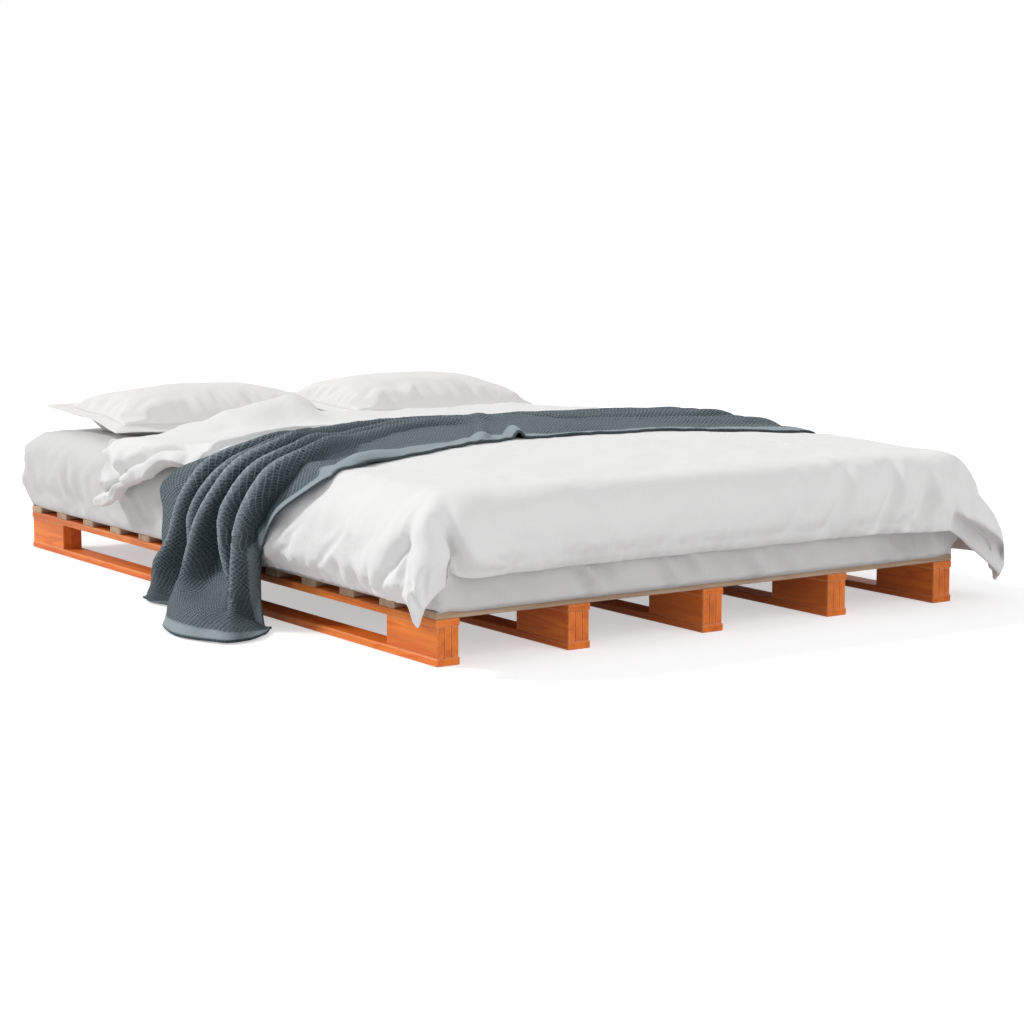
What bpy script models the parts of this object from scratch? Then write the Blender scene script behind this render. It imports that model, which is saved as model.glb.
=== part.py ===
"""Pallet bed, 140 x 200 cm: a low pine frame made like a pallet, dressed with its bedding.

Five runners lie along the bed. Each has a bottom board, a top board and three glued blocks between
them. Thirteen slats lie across the runners and are screwed down. On the slats lie a mattress, a
duvet, two pillows and a knitted throw.

Metres, +Z up. The origin is on the floor under the middle of the frame. X runs across the bed and
Y along it: the foot is at -Y, the head at +Y, and the side with the hanging throw, here called the
near side, is at -X.
"""

from math import atan2, cos, hypot, pi, sin

import bmesh
import bpy
from mathutils import Vector

# Frame sizes
BED_WIDTH = 1.400
BED_LENGTH = 2.000
INNER_RUNNER_SPACING = 0.352
BOARD_WIDTH = 0.056
BOARD_THICKNESS = 0.016
BLOCK_HEIGHT = 0.062
BLOCK_LENGTH = 0.192
BLOCK_INSET = 0.002
BLOCK_BOARDS = 3
BLOCK_GROOVE_WIDTH = 0.0044
BLOCK_GROOVE_DEPTH = 0.0032
SLAT_COUNT = 13
SLAT_WIDTH = 0.0585
SLAT_THICKNESS = 0.016
EASED_EDGE = 0.002
SEAT_GAP = 0.0003
WELD_DISTANCE = 0.00003

# Slat screws
SCREW_LENGTH = 0.045
SCREW_HEAD_RADIUS = 0.004
SCREW_HEAD_RIM = 0.0005
SCREW_HEAD_HEIGHT = 0.0028
SCREW_SHANK_RADIUS = 0.002
SCREW_TIP = 0.005
SCREW_SINK = 0.0006
SCREW_CLEARANCE = 0.0003
SCREW_SIDES = 10
CUT_OVERRUN = 0.002

# Mattress
MATTRESS_THICKNESS = 0.200
MATTRESS_CORNER = 0.060
MATTRESS_ROUND = 0.045
MATTRESS_BULGE = 0.022
MATTRESS_BANDS = 4
MATTRESS_CORNER_CELLS = 4
MATTRESS_RIM_CELLS = 3

# Duvet: where it bends over the mattress, how far it falls, and how thick it is
DUVET_BEND_INSET = 0.030
DUVET_BEND_RADIUS = 0.055
DUVET_NEAR_DROP = 0.198
DUVET_FAR_DROP = 0.240
DUVET_FOOT_DROP = 0.163
DUVET_CROWN = 0.055
DUVET_EDGE = 0.034
DUVET_HANGING = 0.042
DUVET_HEM = 0.012
DUVET_HEM_TAPER = 0.070
DUVET_HEAD_ROLL = 0.028
DUVET_HEAD_ROLL_WIDTH = 0.110
DUVET_RIPPLE = 0.007
DUVET_RIPPLE_PITCH = 0.170
DUVET_NEAR_FLARE = 0.018
DUVET_FAR_FLARE = 0.075
DUVET_FLARE_REACH = 0.300
# How much of the near drop is left at places along the bed, as shares of its half length
NEAR_DROP_SHARES = ((-1.0, 1.0), (-0.36, 1.0), (-0.02, 0.32), (0.2, 0.5), (0.48, 0.86))

# Pillows
PILLOW_WIDTH = 0.645
PILLOW_DEPTH = 0.490
PILLOW_HEIGHT = 0.125
PILLOW_SEAM_HEIGHT = 0.045
PILLOW_SEAM_RISE = 0.018
PILLOW_FLANGE = 0.032
PILLOW_FLANGE_THICKNESS = 0.006
PILLOW_DRAW_IN = 0.016
PILLOW_GAP = 0.005
PILLOW_PAIR_OFFSET = -0.005
PILLOW_HEAD_GAP = 0.002
PILLOW_DUVET_GAP = 0.028
PILLOW_FULLNESS_SHARE = 0.42
PILLOW_REST_SHARE = 1.5

# Throw: a knitted blanket across the bed, gathered where it falls to the floor
THROW_THICKNESS = 0.006
THROW_LIFT = 0.0006
THROW_BEND_STANDOFF = 0.004
THROW_FAR_DROP = 0.210
THROW_FLOOR_GAP = 0.002
THROW_FLOOR_RADIUS = 0.090
THROW_FLOOR_RUN = 0.145
THROW_FOLDS = 4
THROW_FOOT_EDGE = 0.550
THROW_HEAD_EDGE = 0.100
THROW_FOLD_DEPTH = 0.034
# Along the throw, from its far hem to its near hem, in shares of its length: the depth of the folds,
# and how far its foot and head edges lie from the middle of the bed
THROW_FOLD_SHARES = ((0.0, 0.15), (0.1, 0.18), (0.43, 0.3), (0.7, 0.7), (0.8, 1.0), (0.88, 1.0), (1.0, 0.35))
THROW_FOOT_SHARES = ((0.0, 1.0), (0.4, 0.85), (0.75, 1.06), (0.81, 0.86), (0.88, 0.76), (1.0, 1.0))
THROW_HEAD_SHARES = ((0.0, 1.0), (0.55, 0.7), (0.71, -1.0), (0.76, -0.9), (0.8, 0.6), (1.0, 0.6))
# How much of its near fall the throw has, from its foot edge to its head edge
THROW_REACH_SHARES = ((0.0, 0.8), (0.22, 1.0), (0.43, 0.93), (0.65, 0.78), (0.82, 0.66), (1.0, 0.68))

# Cells across each stretch of the soft pieces
DUVET_TOP_CELLS = 9
DUVET_LENGTH_CELLS = 13
BEND_CELLS = 4
DROP_CELLS = 3
DUVET_HEAD_CELLS = 2
PILLOW_ACROSS_CELLS = 12
PILLOW_ALONG_CELLS = 8
THROW_WIDTH_CELLS = 20
THROW_TOP_CELLS = 10
THROW_FLOOR_CELLS = 2
THROW_BEND_CELLS = 3
THROW_HEM_CELLS = 2

# Heights of the stack, from the floor up
BLOCK_BASE = BOARD_THICKNESS + SEAT_GAP
TOP_BOARD_BASE = BLOCK_BASE + BLOCK_HEIGHT + SEAT_GAP
SLAT_BASE = TOP_BOARD_BASE + BOARD_THICKNESS + SEAT_GAP
SLAT_TOP = SLAT_BASE + SLAT_THICKNESS
MATTRESS_BASE = SLAT_TOP + SEAT_GAP
MATTRESS_TOP = MATTRESS_BASE + MATTRESS_THICKNESS
BEDDING_BASE = MATTRESS_TOP + SEAT_GAP

# Places worked out from the sizes above
PILLOW_SPACING = PILLOW_WIDTH + PILLOW_GAP
DUVET_HEAD_EDGE = BED_LENGTH / 2 - PILLOW_HEAD_GAP - PILLOW_DEPTH - PILLOW_DUVET_GAP
DUVET_BEND_X = BED_WIDTH / 2 - DUVET_BEND_INSET
DUVET_BEND_Y = BED_LENGTH / 2 - DUVET_BEND_INSET
QUARTER_BEND = DUVET_BEND_RADIUS * pi / 2
BEND_FOOT = BEDDING_BASE - DUVET_BEND_RADIUS
END_SLAT_Y = (BED_LENGTH - SLAT_WIDTH) / 2


def clear_scene():
    for item in list(bpy.data.objects):
        bpy.data.objects.remove(item, do_unlink=True)


def new_collection(name):
    collection = bpy.data.collections.new(name)
    bpy.context.scene.collection.children.link(collection)
    return collection


def new_material(name, colour, roughness, metallic=0.0):
    material = bpy.data.materials.new(name)
    material.use_nodes = True
    shader = material.node_tree.nodes["Principled BSDF"]
    shader.inputs["Base Color"].default_value = (*colour, 1.0)
    shader.inputs["Roughness"].default_value = roughness
    shader.inputs["Metallic"].default_value = metallic
    return material


def new_object(name, mesh, collection, material=None):
    item = bpy.data.objects.new(name, mesh)
    collection.objects.link(item)
    if material is not None:
        mesh.materials.append(material)
    return item


def object_from_bmesh(name, form, collection, material=None, smooth=False):
    mesh = bpy.data.meshes.new(name)
    form.to_mesh(mesh)
    form.free()
    if smooth:
        mesh.shade_smooth()
    return new_object(name, mesh, collection, material)


def along_shares(place, shares):
    """Value at a place in a table of (place, value) pairs, eased between the pairs."""
    before = shares[0]
    for after in shares[1:]:
        if place <= after[0]:
            step = max(0.0, (place - before[0]) / (after[0] - before[0]))
            return before[1] + (after[1] - before[1]) * ease(step)
        before = after
    return before[1]


def ease(step):
    step = min(1.0, max(0.0, step))
    return step * step * (3 - 2 * step)


def stretches(*runs):
    """Places along a line from runs of (start, end, cells), each split evenly."""
    places = [runs[0][0]]
    for start, end, cells in runs:
        places += [start + (end - start) * count / cells for count in range(1, cells + 1)]
    return places


# Frame

def add_board(name, size, centre, collection, material):
    form = bmesh.new()
    bmesh.ops.create_cube(form, size=1.0)
    bmesh.ops.scale(form, vec=size, verts=form.verts)
    board = object_from_bmesh(name, form, collection, material)
    board.location = centre
    eased = board.modifiers.new("eased_edges", "BEVEL")
    eased.width = EASED_EDGE
    eased.segments = 1
    return board


def block_outline():
    """Plan of a glued block: its boards stand side by side, each with eased upright edges."""
    half_length = BLOCK_LENGTH / 2
    half_width = BOARD_WIDTH / 2 - BLOCK_INSET
    board = 2 * half_width / BLOCK_BOARDS
    end = [(-half_width, half_length - EASED_EDGE), (-half_width + EASED_EDGE, half_length)]
    for count in range(1, BLOCK_BOARDS):
        joint = -half_width + count * board
        end.append((joint - BLOCK_GROOVE_WIDTH / 2, half_length))
        end.append((joint, half_length - BLOCK_GROOVE_DEPTH))
        end.append((joint + BLOCK_GROOVE_WIDTH / 2, half_length))
    end += [(half_width - EASED_EDGE, half_length), (half_width, half_length - EASED_EDGE)]
    return end + [(-x, -y) for x, y in end]


def add_block(name, centre, collection, material):
    curve = bpy.data.curves.new(name, "CURVE")
    curve.dimensions = "2D"
    curve.fill_mode = "BOTH"
    curve.extrude = BLOCK_HEIGHT / 2
    outline = block_outline()
    spline = curve.splines.new("POLY")
    spline.points.add(len(outline) - 1)
    for point, (x, y) in zip(spline.points, outline):
        point.co = (x, y, 0.0, 1.0)
    spline.use_cyclic_u = True
    flat = new_object(name + "_outline", curve, collection)
    bpy.context.view_layer.update()
    evaluated = flat.evaluated_get(bpy.context.evaluated_depsgraph_get())
    mesh = bpy.data.meshes.new_from_object(evaluated)
    form = bmesh.new()
    form.from_mesh(mesh)
    bmesh.ops.remove_doubles(form, verts=form.verts, dist=WELD_DISTANCE)
    bmesh.ops.recalc_face_normals(form, faces=form.faces)
    bpy.data.objects.remove(flat, do_unlink=True)
    block = object_from_bmesh(name, form, collection, material)
    block.location = centre
    return block


def runner_places():
    outer = (BED_WIDTH - BOARD_WIDTH) / 2
    return (-outer, -INNER_RUNNER_SPACING, 0.0, INNER_RUNNER_SPACING, outer)


def slat_places():
    pitch = 2 * END_SLAT_Y / (SLAT_COUNT - 1)
    return [-END_SLAT_Y + pitch * count for count in range(SLAT_COUNT)]


def add_runner(number, x, collection, material):
    """One runner: the boards, and the blocks by their place along it."""
    name = f"runner_{number}"
    size = (BOARD_WIDTH, BED_LENGTH, BOARD_THICKNESS)
    bottom = (x, 0.0, BOARD_THICKNESS / 2)
    top = (x, 0.0, TOP_BOARD_BASE + BOARD_THICKNESS / 2)
    add_board(name + "_bottom_board", size, bottom, collection, material)
    top_board = add_board(name + "_top_board", size, top, collection, material)
    end = BED_LENGTH / 2 - BLOCK_INSET - BLOCK_LENGTH / 2
    blocks = {}
    for place, y in (("foot", -end), ("middle", 0.0), ("head", end)):
        centre = (x, y, BLOCK_BASE + BLOCK_HEIGHT / 2)
        blocks[place] = add_block(f"{name}_{place}_block", centre, collection, material)
    return top_board, blocks


def add_slat(number, y, collection, material):
    size = (BED_WIDTH, SLAT_WIDTH, SLAT_THICKNESS)
    centre = (0.0, y, SLAT_BASE + SLAT_THICKNESS / 2)
    return add_board(f"slat_{number:02d}", size, centre, collection, material)


# Screws

def screw_profile(clearance=0.0, above=0.0):
    """Outer side of a countersunk screw, from the top down, with its head's top at zero."""
    head = SCREW_HEAD_RADIUS + clearance
    shank = SCREW_SHANK_RADIUS + clearance
    profile = [(0.0, above), (head, above), (head, -SCREW_HEAD_RIM - clearance)]
    profile.append((shank, -SCREW_HEAD_HEIGHT - clearance))
    profile.append((shank, -SCREW_LENGTH + SCREW_TIP - clearance))
    profile.append((0.0, -SCREW_LENGTH - clearance))
    return profile


def add_turned(name, profile, centre, collection, material=None):
    mesh = bpy.data.meshes.new(name)
    points = [(radius, 0.0, height) for radius, height in profile]
    edges = [(count, count + 1) for count in range(len(points) - 1)]
    mesh.from_pydata(points, edges, [])
    turned = new_object(name, mesh, collection, material)
    turned.location = centre
    turn = turned.modifiers.new("turn", "SCREW")
    turn.steps = SCREW_SIDES
    turn.render_steps = SCREW_SIDES
    turn.use_merge_vertices = True
    turn.merge_threshold = WELD_DISTANCE
    return turned


def cut_hole(piece, cutter):
    cut = piece.modifiers.new("hole_" + cutter.name, "BOOLEAN")
    cut.operation = "DIFFERENCE"
    cut.solver = "EXACT"
    cut.object = cutter


def add_slat_screw(name, place, pieces, parts, cutters, steel):
    """A screw through an end slat and the top board into the block, with its hole in each."""
    centre = (*place, SLAT_TOP - SCREW_SINK)
    add_turned(name, screw_profile(), centre, parts, steel)
    hole = screw_profile(SCREW_CLEARANCE, SCREW_SINK + CUT_OVERRUN)
    cutter = add_turned(name + "_hole", hole, centre, cutters)
    cutter.hide_render = True
    cutter.display_type = "WIRE"
    for piece in pieces:
        cut_hole(piece, cutter)


def add_frame(parts, cutters, stained_pine, plain_pine, steel):
    slats = {}
    for number, y in enumerate(slat_places(), 1):
        slats[number] = add_slat(number, y, parts, plain_pine)
    for number, x in enumerate(runner_places(), 1):
        top_board, blocks = add_runner(number, x, parts, stained_pine)
        foot_pieces = (slats[1], top_board, blocks["foot"])
        head_pieces = (slats[SLAT_COUNT], top_board, blocks["head"])
        add_slat_screw(f"foot_screw_{number}", (x, -END_SLAT_Y), foot_pieces, parts, cutters, steel)
        add_slat_screw(f"head_screw_{number}", (x, END_SLAT_Y), head_pieces, parts, cutters, steel)


# Mattress

def upright(edge):
    first, second = edge.verts
    return hypot(first.co.x - second.co.x, first.co.y - second.co.y) < SEAT_GAP


def on_rim(edge):
    """Whether an edge is on the rim of the flat top or bottom."""
    flat = [abs(face.normal.z) > 0.5 for face in edge.link_faces]
    return any(flat) and not all(flat)


def add_mattress(collection, material):
    form = bmesh.new()
    bmesh.ops.create_cube(form, size=1.0)
    size = (BED_WIDTH, BED_LENGTH, MATTRESS_THICKNESS)
    bmesh.ops.scale(form, vec=size, verts=form.verts)
    corners = [edge for edge in form.edges if upright(edge)]
    bmesh.ops.bevel(form, geom=corners, offset=MATTRESS_CORNER, segments=MATTRESS_CORNER_CELLS,
                     profile=0.5, affect="EDGES")
    form.normal_update()
    rims = [edge for edge in form.edges if on_rim(edge)]
    bmesh.ops.bevel(form, geom=rims, offset=MATTRESS_ROUND, segments=MATTRESS_RIM_CELLS,
                     profile=0.5, affect="EDGES")
    sides = [edge for edge in form.edges if upright(edge)]
    bmesh.ops.subdivide_edges(form, edges=sides, cuts=MATTRESS_BANDS - 1)
    for corner in form.verts:
        bulge = MATTRESS_BULGE * cos(pi * corner.co.z / MATTRESS_THICKNESS)
        corner.co.x *= 1 + 2 * bulge / BED_WIDTH
        corner.co.y *= 1 + 2 * bulge / BED_LENGTH
    mattress = object_from_bmesh("mattress", form, collection, material, smooth=True)
    mattress.location = (0.0, 0.0, MATTRESS_BASE + MATTRESS_THICKNESS / 2)
    return mattress


# Soft sheets

def add_sheet(name, columns, rows, place, collection, material):
    """A closed sheet, one cell thick, whose corners place(column, row, layer) puts in space.

    Columns run towards +X and rows towards +Y, so that the faces keep pointing out.
    """
    form = bmesh.new()
    bmesh.ops.create_grid(form, x_segments=len(columns) - 1, y_segments=len(rows) - 1, size=0.5)
    upper = bmesh.ops.extrude_face_region(form, geom=form.faces[:])
    raised = [item for item in upper["geom"] if isinstance(item, bmesh.types.BMVert)]
    bmesh.ops.translate(form, verts=raised, vec=(0.0, 0.0, 1.0))
    bmesh.ops.recalc_face_normals(form, faces=form.faces)
    for corner in form.verts:
        column = round((corner.co.x + 0.5) * (len(columns) - 1))
        row = round((corner.co.y + 0.5) * (len(rows) - 1))
        corner.co = place(columns[column], rows[row], round(corner.co.z))
    return object_from_bmesh(name, form, collection, material, smooth=True)


def past_bend(distance):
    """Run, fall and slope of a sheet that has gone a distance past the start of its bend."""
    if distance <= 0:
        return 0.0, 0.0, 0.0
    if distance < QUARTER_BEND:
        slope = distance / DUVET_BEND_RADIUS
        return DUVET_BEND_RADIUS * sin(slope), DUVET_BEND_RADIUS * (1 - cos(slope)), slope
    return DUVET_BEND_RADIUS, DUVET_BEND_RADIUS + distance - QUARTER_BEND, pi / 2


def drape(across, along):
    """Point and normal where the flat place (across, along) lies when laid over the mattress."""
    beyond_side = max(0.0, abs(across) - DUVET_BEND_X)
    beyond_foot = max(0.0, -along - DUVET_BEND_Y)
    heading = atan2(beyond_foot, beyond_side)
    run, fall, slope = past_bend(hypot(beyond_side, beyond_foot))
    side = 1.0 if across > 0 else -1.0
    outward = Vector((side * cos(heading), -sin(heading), 0.0))
    start_x = min(abs(across), DUVET_BEND_X) * side
    start_y = max(along, -DUVET_BEND_Y)
    point = Vector((start_x, start_y, BEDDING_BASE - fall)) + run * outward
    return point, sin(slope) * outward + Vector((0.0, 0.0, cos(slope)))


def duvet_drops(along):
    """How far the duvet falls on the near and far side at a place along the bed."""
    near = DUVET_NEAR_DROP * along_shares(2 * along / BED_LENGTH, NEAR_DROP_SHARES)
    return near, DUVET_FAR_DROP


def duvet_thickness(across, along):
    near, far = duvet_drops(along)
    side_drop = near if across < 0 else far
    to_side = DUVET_BEND_X + side_drop - abs(across)
    to_foot = along + DUVET_BEND_Y + DUVET_FOOT_DROP
    to_hem = min(to_side, to_foot, DUVET_HEAD_EDGE - along)
    middle = (DUVET_HEAD_EDGE - DUVET_BEND_Y) / 2
    half = (DUVET_HEAD_EDGE + DUVET_BEND_Y) / 2
    across_crown = max(0.0, 1 - (across / DUVET_BEND_X) ** 2)
    crown = across_crown * max(0.0, 1 - ((along - middle) / half) ** 2)
    past = max(abs(across) - DUVET_BEND_X, -along - DUVET_BEND_Y)
    full = DUVET_EDGE + (DUVET_CROWN - DUVET_EDGE) * ease(crown)
    full += (DUVET_HANGING - DUVET_EDGE) * ease(past / QUARTER_BEND)
    head_roll = ease(1 - abs(DUVET_HEAD_EDGE - DUVET_HEM_TAPER - along) / DUVET_HEAD_ROLL_WIDTH)
    full += DUVET_HEAD_ROLL * head_roll * ease(across_crown)
    return DUVET_HEM + (full - DUVET_HEM) * ease(to_hem / DUVET_HEM_TAPER) ** 0.5


def duvet_ripple(across, along):
    """Outward ripple of the hanging part and flare of the foot corners, growing to the hem."""
    beyond_side = max(0.0, abs(across) - DUVET_BEND_X)
    beyond_foot = max(0.0, -along - DUVET_BEND_Y)
    hanging = ease((hypot(beyond_side, beyond_foot) - QUARTER_BEND / 2) / DUVET_FOOT_DROP)
    around = (along if beyond_side > beyond_foot else across) / DUVET_RIPPLE_PITCH
    ripple = DUVET_RIPPLE * (1 + sin(2 * pi * around)) / 2
    flare = DUVET_FAR_FLARE if across > 0 else DUVET_NEAR_FLARE
    from_corner = hypot(max(0.0, along + DUVET_BEND_Y), max(0.0, DUVET_BEND_X - abs(across)))
    return hanging * (ripple + flare * ease(1 - from_corner / DUVET_FLARE_REACH))


def duvet_place(across_share, along, layer):
    near, far = duvet_drops(along)
    if across_share < -1:
        across = -DUVET_BEND_X + (across_share + 1) * near
    elif across_share > 1:
        across = DUVET_BEND_X + (across_share - 1) * far
    else:
        across = across_share * DUVET_BEND_X
    point, normal = drape(across, along)
    lift = duvet_ripple(across, along)
    return point + normal * (lift + layer * duvet_thickness(across, along))


def add_duvet(collection, material):
    """Columns count -2 at the near hem, -1 and 1 at the bends, and 2 at the far hem."""
    bend_share = QUARTER_BEND / DUVET_FAR_DROP
    near_side = (-2, -1 - bend_share, DROP_CELLS), (-1 - bend_share, -1, BEND_CELLS)
    far_side = (1, 1 + bend_share, BEND_CELLS), (1 + bend_share, 2, DROP_CELLS)
    columns = stretches(*near_side, (-1, 1, DUVET_TOP_CELLS), *far_side)
    foot_bend_end = -DUVET_BEND_Y - QUARTER_BEND
    foot_hem = -DUVET_BEND_Y - DUVET_FOOT_DROP
    foot = (foot_hem, foot_bend_end, DROP_CELLS), (foot_bend_end, -DUVET_BEND_Y, BEND_CELLS)
    head_start = DUVET_HEAD_EDGE - DUVET_HEM_TAPER
    top = (-DUVET_BEND_Y, head_start, DUVET_LENGTH_CELLS), (head_start, DUVET_HEAD_EDGE, DUVET_HEAD_CELLS)
    rows = stretches(*foot, *top)
    return add_sheet("duvet", columns, rows, duvet_place, collection, material)


# Pillows

def pillow_fullness(across, along):
    """Height share at a place on the pillow, from 0 on the flange to 1 in the middle."""
    core_across = across / (1 - 2 * PILLOW_FLANGE / PILLOW_WIDTH)
    core_along = along / (1 - 2 * PILLOW_FLANGE / PILLOW_DEPTH)
    inside = max(0.0, 1 - core_across ** 2) * max(0.0, 1 - core_along ** 2)
    return inside ** PILLOW_FULLNESS_SHARE


def pillow_place(across, along, layer):
    """Place on a pillow lying on the mattress, for places from -1 to 1 each way."""
    draw_across = PILLOW_DRAW_IN * (1 - along ** 2)
    draw_along = PILLOW_DRAW_IN * (1 - across ** 2)
    x = across * (PILLOW_WIDTH / 2 - draw_across)
    y = along * (PILLOW_DEPTH / 2 - draw_along)
    fullness = pillow_fullness(across, along)
    seam = PILLOW_SEAM_HEIGHT + PILLOW_SEAM_RISE * along
    flange = PILLOW_FLANGE_THICKNESS / 2
    if layer:
        return Vector((x, y, seam + flange + (PILLOW_HEIGHT - seam - flange) * fullness))
    return Vector((x, y, (seam - flange) * (1 - min(1.0, PILLOW_REST_SHARE * fullness))))


def add_pillow(name, x, collection, material):
    flange_x = 1 - 2 * PILLOW_FLANGE / PILLOW_WIDTH
    flange_y = 1 - 2 * PILLOW_FLANGE / PILLOW_DEPTH
    core_x = (-flange_x, flange_x, PILLOW_ACROSS_CELLS)
    core_y = (-flange_y, flange_y, PILLOW_ALONG_CELLS)
    columns = stretches((-1, -flange_x, 1), core_x, (flange_x, 1, 1))
    rows = stretches((-1, -flange_y, 1), core_y, (flange_y, 1, 1))
    pillow = add_sheet(name, columns, rows, pillow_place, collection, material)
    y = BED_LENGTH / 2 - PILLOW_HEAD_GAP - PILLOW_DEPTH / 2
    pillow.location = (x, y, BEDDING_BASE)
    return pillow


# Throw

THROW_UPRIGHT = BEND_FOOT - THROW_FLOOR_RADIUS - THROW_FLOOR_GAP
THROW_FLOOR_BEND = THROW_FLOOR_RADIUS * pi / 2
THROW_NEAR_DROP = QUARTER_BEND + THROW_UPRIGHT + THROW_FLOOR_BEND + THROW_FLOOR_RUN
THROW_FAR_HEM = DUVET_BEND_X + THROW_FAR_DROP
THROW_LENGTH = THROW_FAR_HEM + DUVET_BEND_X + THROW_NEAR_DROP


def throw_base(across, along):
    """Point and normal under the throw: over the bed, down its near side and out on the floor."""
    floor_bend = -DUVET_BEND_X - QUARTER_BEND - THROW_UPRIGHT
    if across >= floor_bend:
        return drape(across, along)
    point, normal = drape(floor_bend, along)
    beyond = floor_bend - across
    slope = min(pi / 2, beyond / THROW_FLOOR_RADIUS)
    point.x -= THROW_FLOOR_RADIUS * (1 - cos(slope)) + max(0.0, beyond - THROW_FLOOR_BEND)
    point.z -= THROW_FLOOR_RADIUS * sin(slope)
    return point, Vector((-cos(slope), 0.0, sin(slope)))


def throw_standoff(across, along):
    """How far the throw lies above the mattress line: on the duvet, then easing onto the floor."""
    on_top = max(-DUVET_BEND_X, min(DUVET_BEND_X, across))
    bend = ease((abs(across) - DUVET_BEND_X) / QUARTER_BEND)
    thickness = duvet_thickness(on_top, along) + (DUVET_HANGING - DUVET_EDGE) * bend
    resting = thickness + DUVET_RIPPLE * bend + THROW_LIFT + THROW_BEND_STANDOFF * bend
    lowered = ease((-across - DUVET_BEND_X - QUARTER_BEND - THROW_UPRIGHT) / THROW_FLOOR_BEND)
    return resting * (1 - lowered) + THROW_LIFT * lowered


def throw_place(across, width_share, layer):
    beyond_bend = -DUVET_BEND_X - QUARTER_BEND - across
    if beyond_bend > 0:
        across += beyond_bend * (1 - along_shares(width_share, THROW_REACH_SHARES))
    length_share = (THROW_FAR_HEM - across) / THROW_LENGTH
    foot = -THROW_FOOT_EDGE * along_shares(length_share, THROW_FOOT_SHARES)
    head = THROW_HEAD_EDGE * along_shares(length_share, THROW_HEAD_SHARES)
    along = foot + (head - foot) * width_share
    point, normal = throw_base(across, along)
    depth = THROW_FOLD_DEPTH * along_shares(length_share, THROW_FOLD_SHARES)
    fold = depth * (1 - cos(2 * pi * THROW_FOLDS * width_share)) / 2
    return point + normal * (throw_standoff(across, along) + fold + layer * THROW_THICKNESS)


def add_throw(collection, material):
    far_bend_end = DUVET_BEND_X + QUARTER_BEND
    floor_bend = -DUVET_BEND_X - QUARTER_BEND - THROW_UPRIGHT
    near_hem = THROW_FAR_HEM - THROW_LENGTH
    floor_run = (near_hem, floor_bend - THROW_FLOOR_BEND, THROW_FLOOR_CELLS)
    floor = (floor_bend - THROW_FLOOR_BEND, floor_bend, THROW_BEND_CELLS)
    near = (floor_bend, -far_bend_end, DROP_CELLS), (-far_bend_end, -DUVET_BEND_X, BEND_CELLS)
    top = (-DUVET_BEND_X, DUVET_BEND_X, THROW_TOP_CELLS)
    far = (DUVET_BEND_X, far_bend_end, BEND_CELLS), (far_bend_end, THROW_FAR_HEM, THROW_HEM_CELLS)
    columns = stretches(floor_run, floor, *near, top, *far)
    rows = stretches((0, 1, THROW_WIDTH_CELLS))
    return add_sheet("throw_blanket", columns, rows, throw_place, collection, material)


def build():
    clear_scene()
    parts = new_collection("pallet_bed")
    cutters = new_collection("cutters")
    stained_pine = new_material("stained_pine", (0.62, 0.17, 0.035), 0.5)
    plain_pine = new_material("plain_pine", (0.55, 0.37, 0.24), 0.6)
    steel = new_material("screw_steel", (0.6, 0.55, 0.4), 0.35, 1.0)
    sheet_cotton = new_material("mattress_sheet", (0.72, 0.72, 0.71), 0.9)
    linen = new_material("duvet_linen", (0.83, 0.82, 0.81), 0.9)
    pillow_linen = new_material("pillow_linen", (0.8, 0.8, 0.79), 0.9)
    knit = new_material("throw_knit", (0.07, 0.12, 0.14), 0.95)
    add_frame(parts, cutters, stained_pine, plain_pine, steel)
    add_mattress(parts, sheet_cotton)
    add_duvet(parts, linen)
    left = PILLOW_PAIR_OFFSET - PILLOW_SPACING / 2
    add_pillow("pillow_left", left, parts, pillow_linen)
    add_pillow("pillow_right", left + PILLOW_SPACING, parts, pillow_linen)
    add_throw(parts, knit)


build()
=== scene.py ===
"""Looks of the dressed pallet bed: stained pine frame, sheeted mattress, duvet, pillows and throw.

Metres, +Z up. The foot of the bed is at -Y, the head at +Y, and the throw falls to the floor on the
near side, at -X. The duvet and the pillows are grids of cloth that a short simulation inflates. The
throw is laid out fold by fold, and the mattress is shaped from the frame's own solid.
"""

from math import pi, radians

import bmesh
import bpy
import numpy as np
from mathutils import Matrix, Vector
from mathutils.bvhtree import BVHTree


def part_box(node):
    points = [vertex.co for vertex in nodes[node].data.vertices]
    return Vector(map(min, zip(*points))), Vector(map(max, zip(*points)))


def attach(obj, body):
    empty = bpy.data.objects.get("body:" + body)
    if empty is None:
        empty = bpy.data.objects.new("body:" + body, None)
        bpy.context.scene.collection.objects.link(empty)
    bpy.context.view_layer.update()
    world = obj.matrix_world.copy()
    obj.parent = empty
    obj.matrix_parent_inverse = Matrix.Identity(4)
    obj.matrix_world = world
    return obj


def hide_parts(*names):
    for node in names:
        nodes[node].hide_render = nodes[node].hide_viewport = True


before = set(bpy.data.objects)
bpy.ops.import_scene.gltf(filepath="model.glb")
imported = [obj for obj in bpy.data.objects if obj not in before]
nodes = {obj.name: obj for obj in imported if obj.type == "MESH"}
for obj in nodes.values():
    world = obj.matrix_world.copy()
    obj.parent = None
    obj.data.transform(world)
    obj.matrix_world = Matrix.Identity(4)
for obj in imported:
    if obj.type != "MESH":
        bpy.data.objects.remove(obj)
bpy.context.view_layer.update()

# Sizes read from the frame
MATTRESS_LOW, MATTRESS_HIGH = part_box("mattress")
MATTRESS_TOP = MATTRESS_HIGH.z
HALF_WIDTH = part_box("slat_01")[1].x
HALF_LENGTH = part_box("runner_1_bottom_board")[1].y
DUVET_HEAD_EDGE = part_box("duvet")[1].y

# Camera
CAMERA_PLACE = (-3.208, -4.959, 0.9275)
CAMERA_PITCH = -7.504
CAMERA_TURN = -34.176
CAMERA_LENS = 84.76
CAMERA_SENSOR = 36.0


# Numbers and shapes

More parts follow.
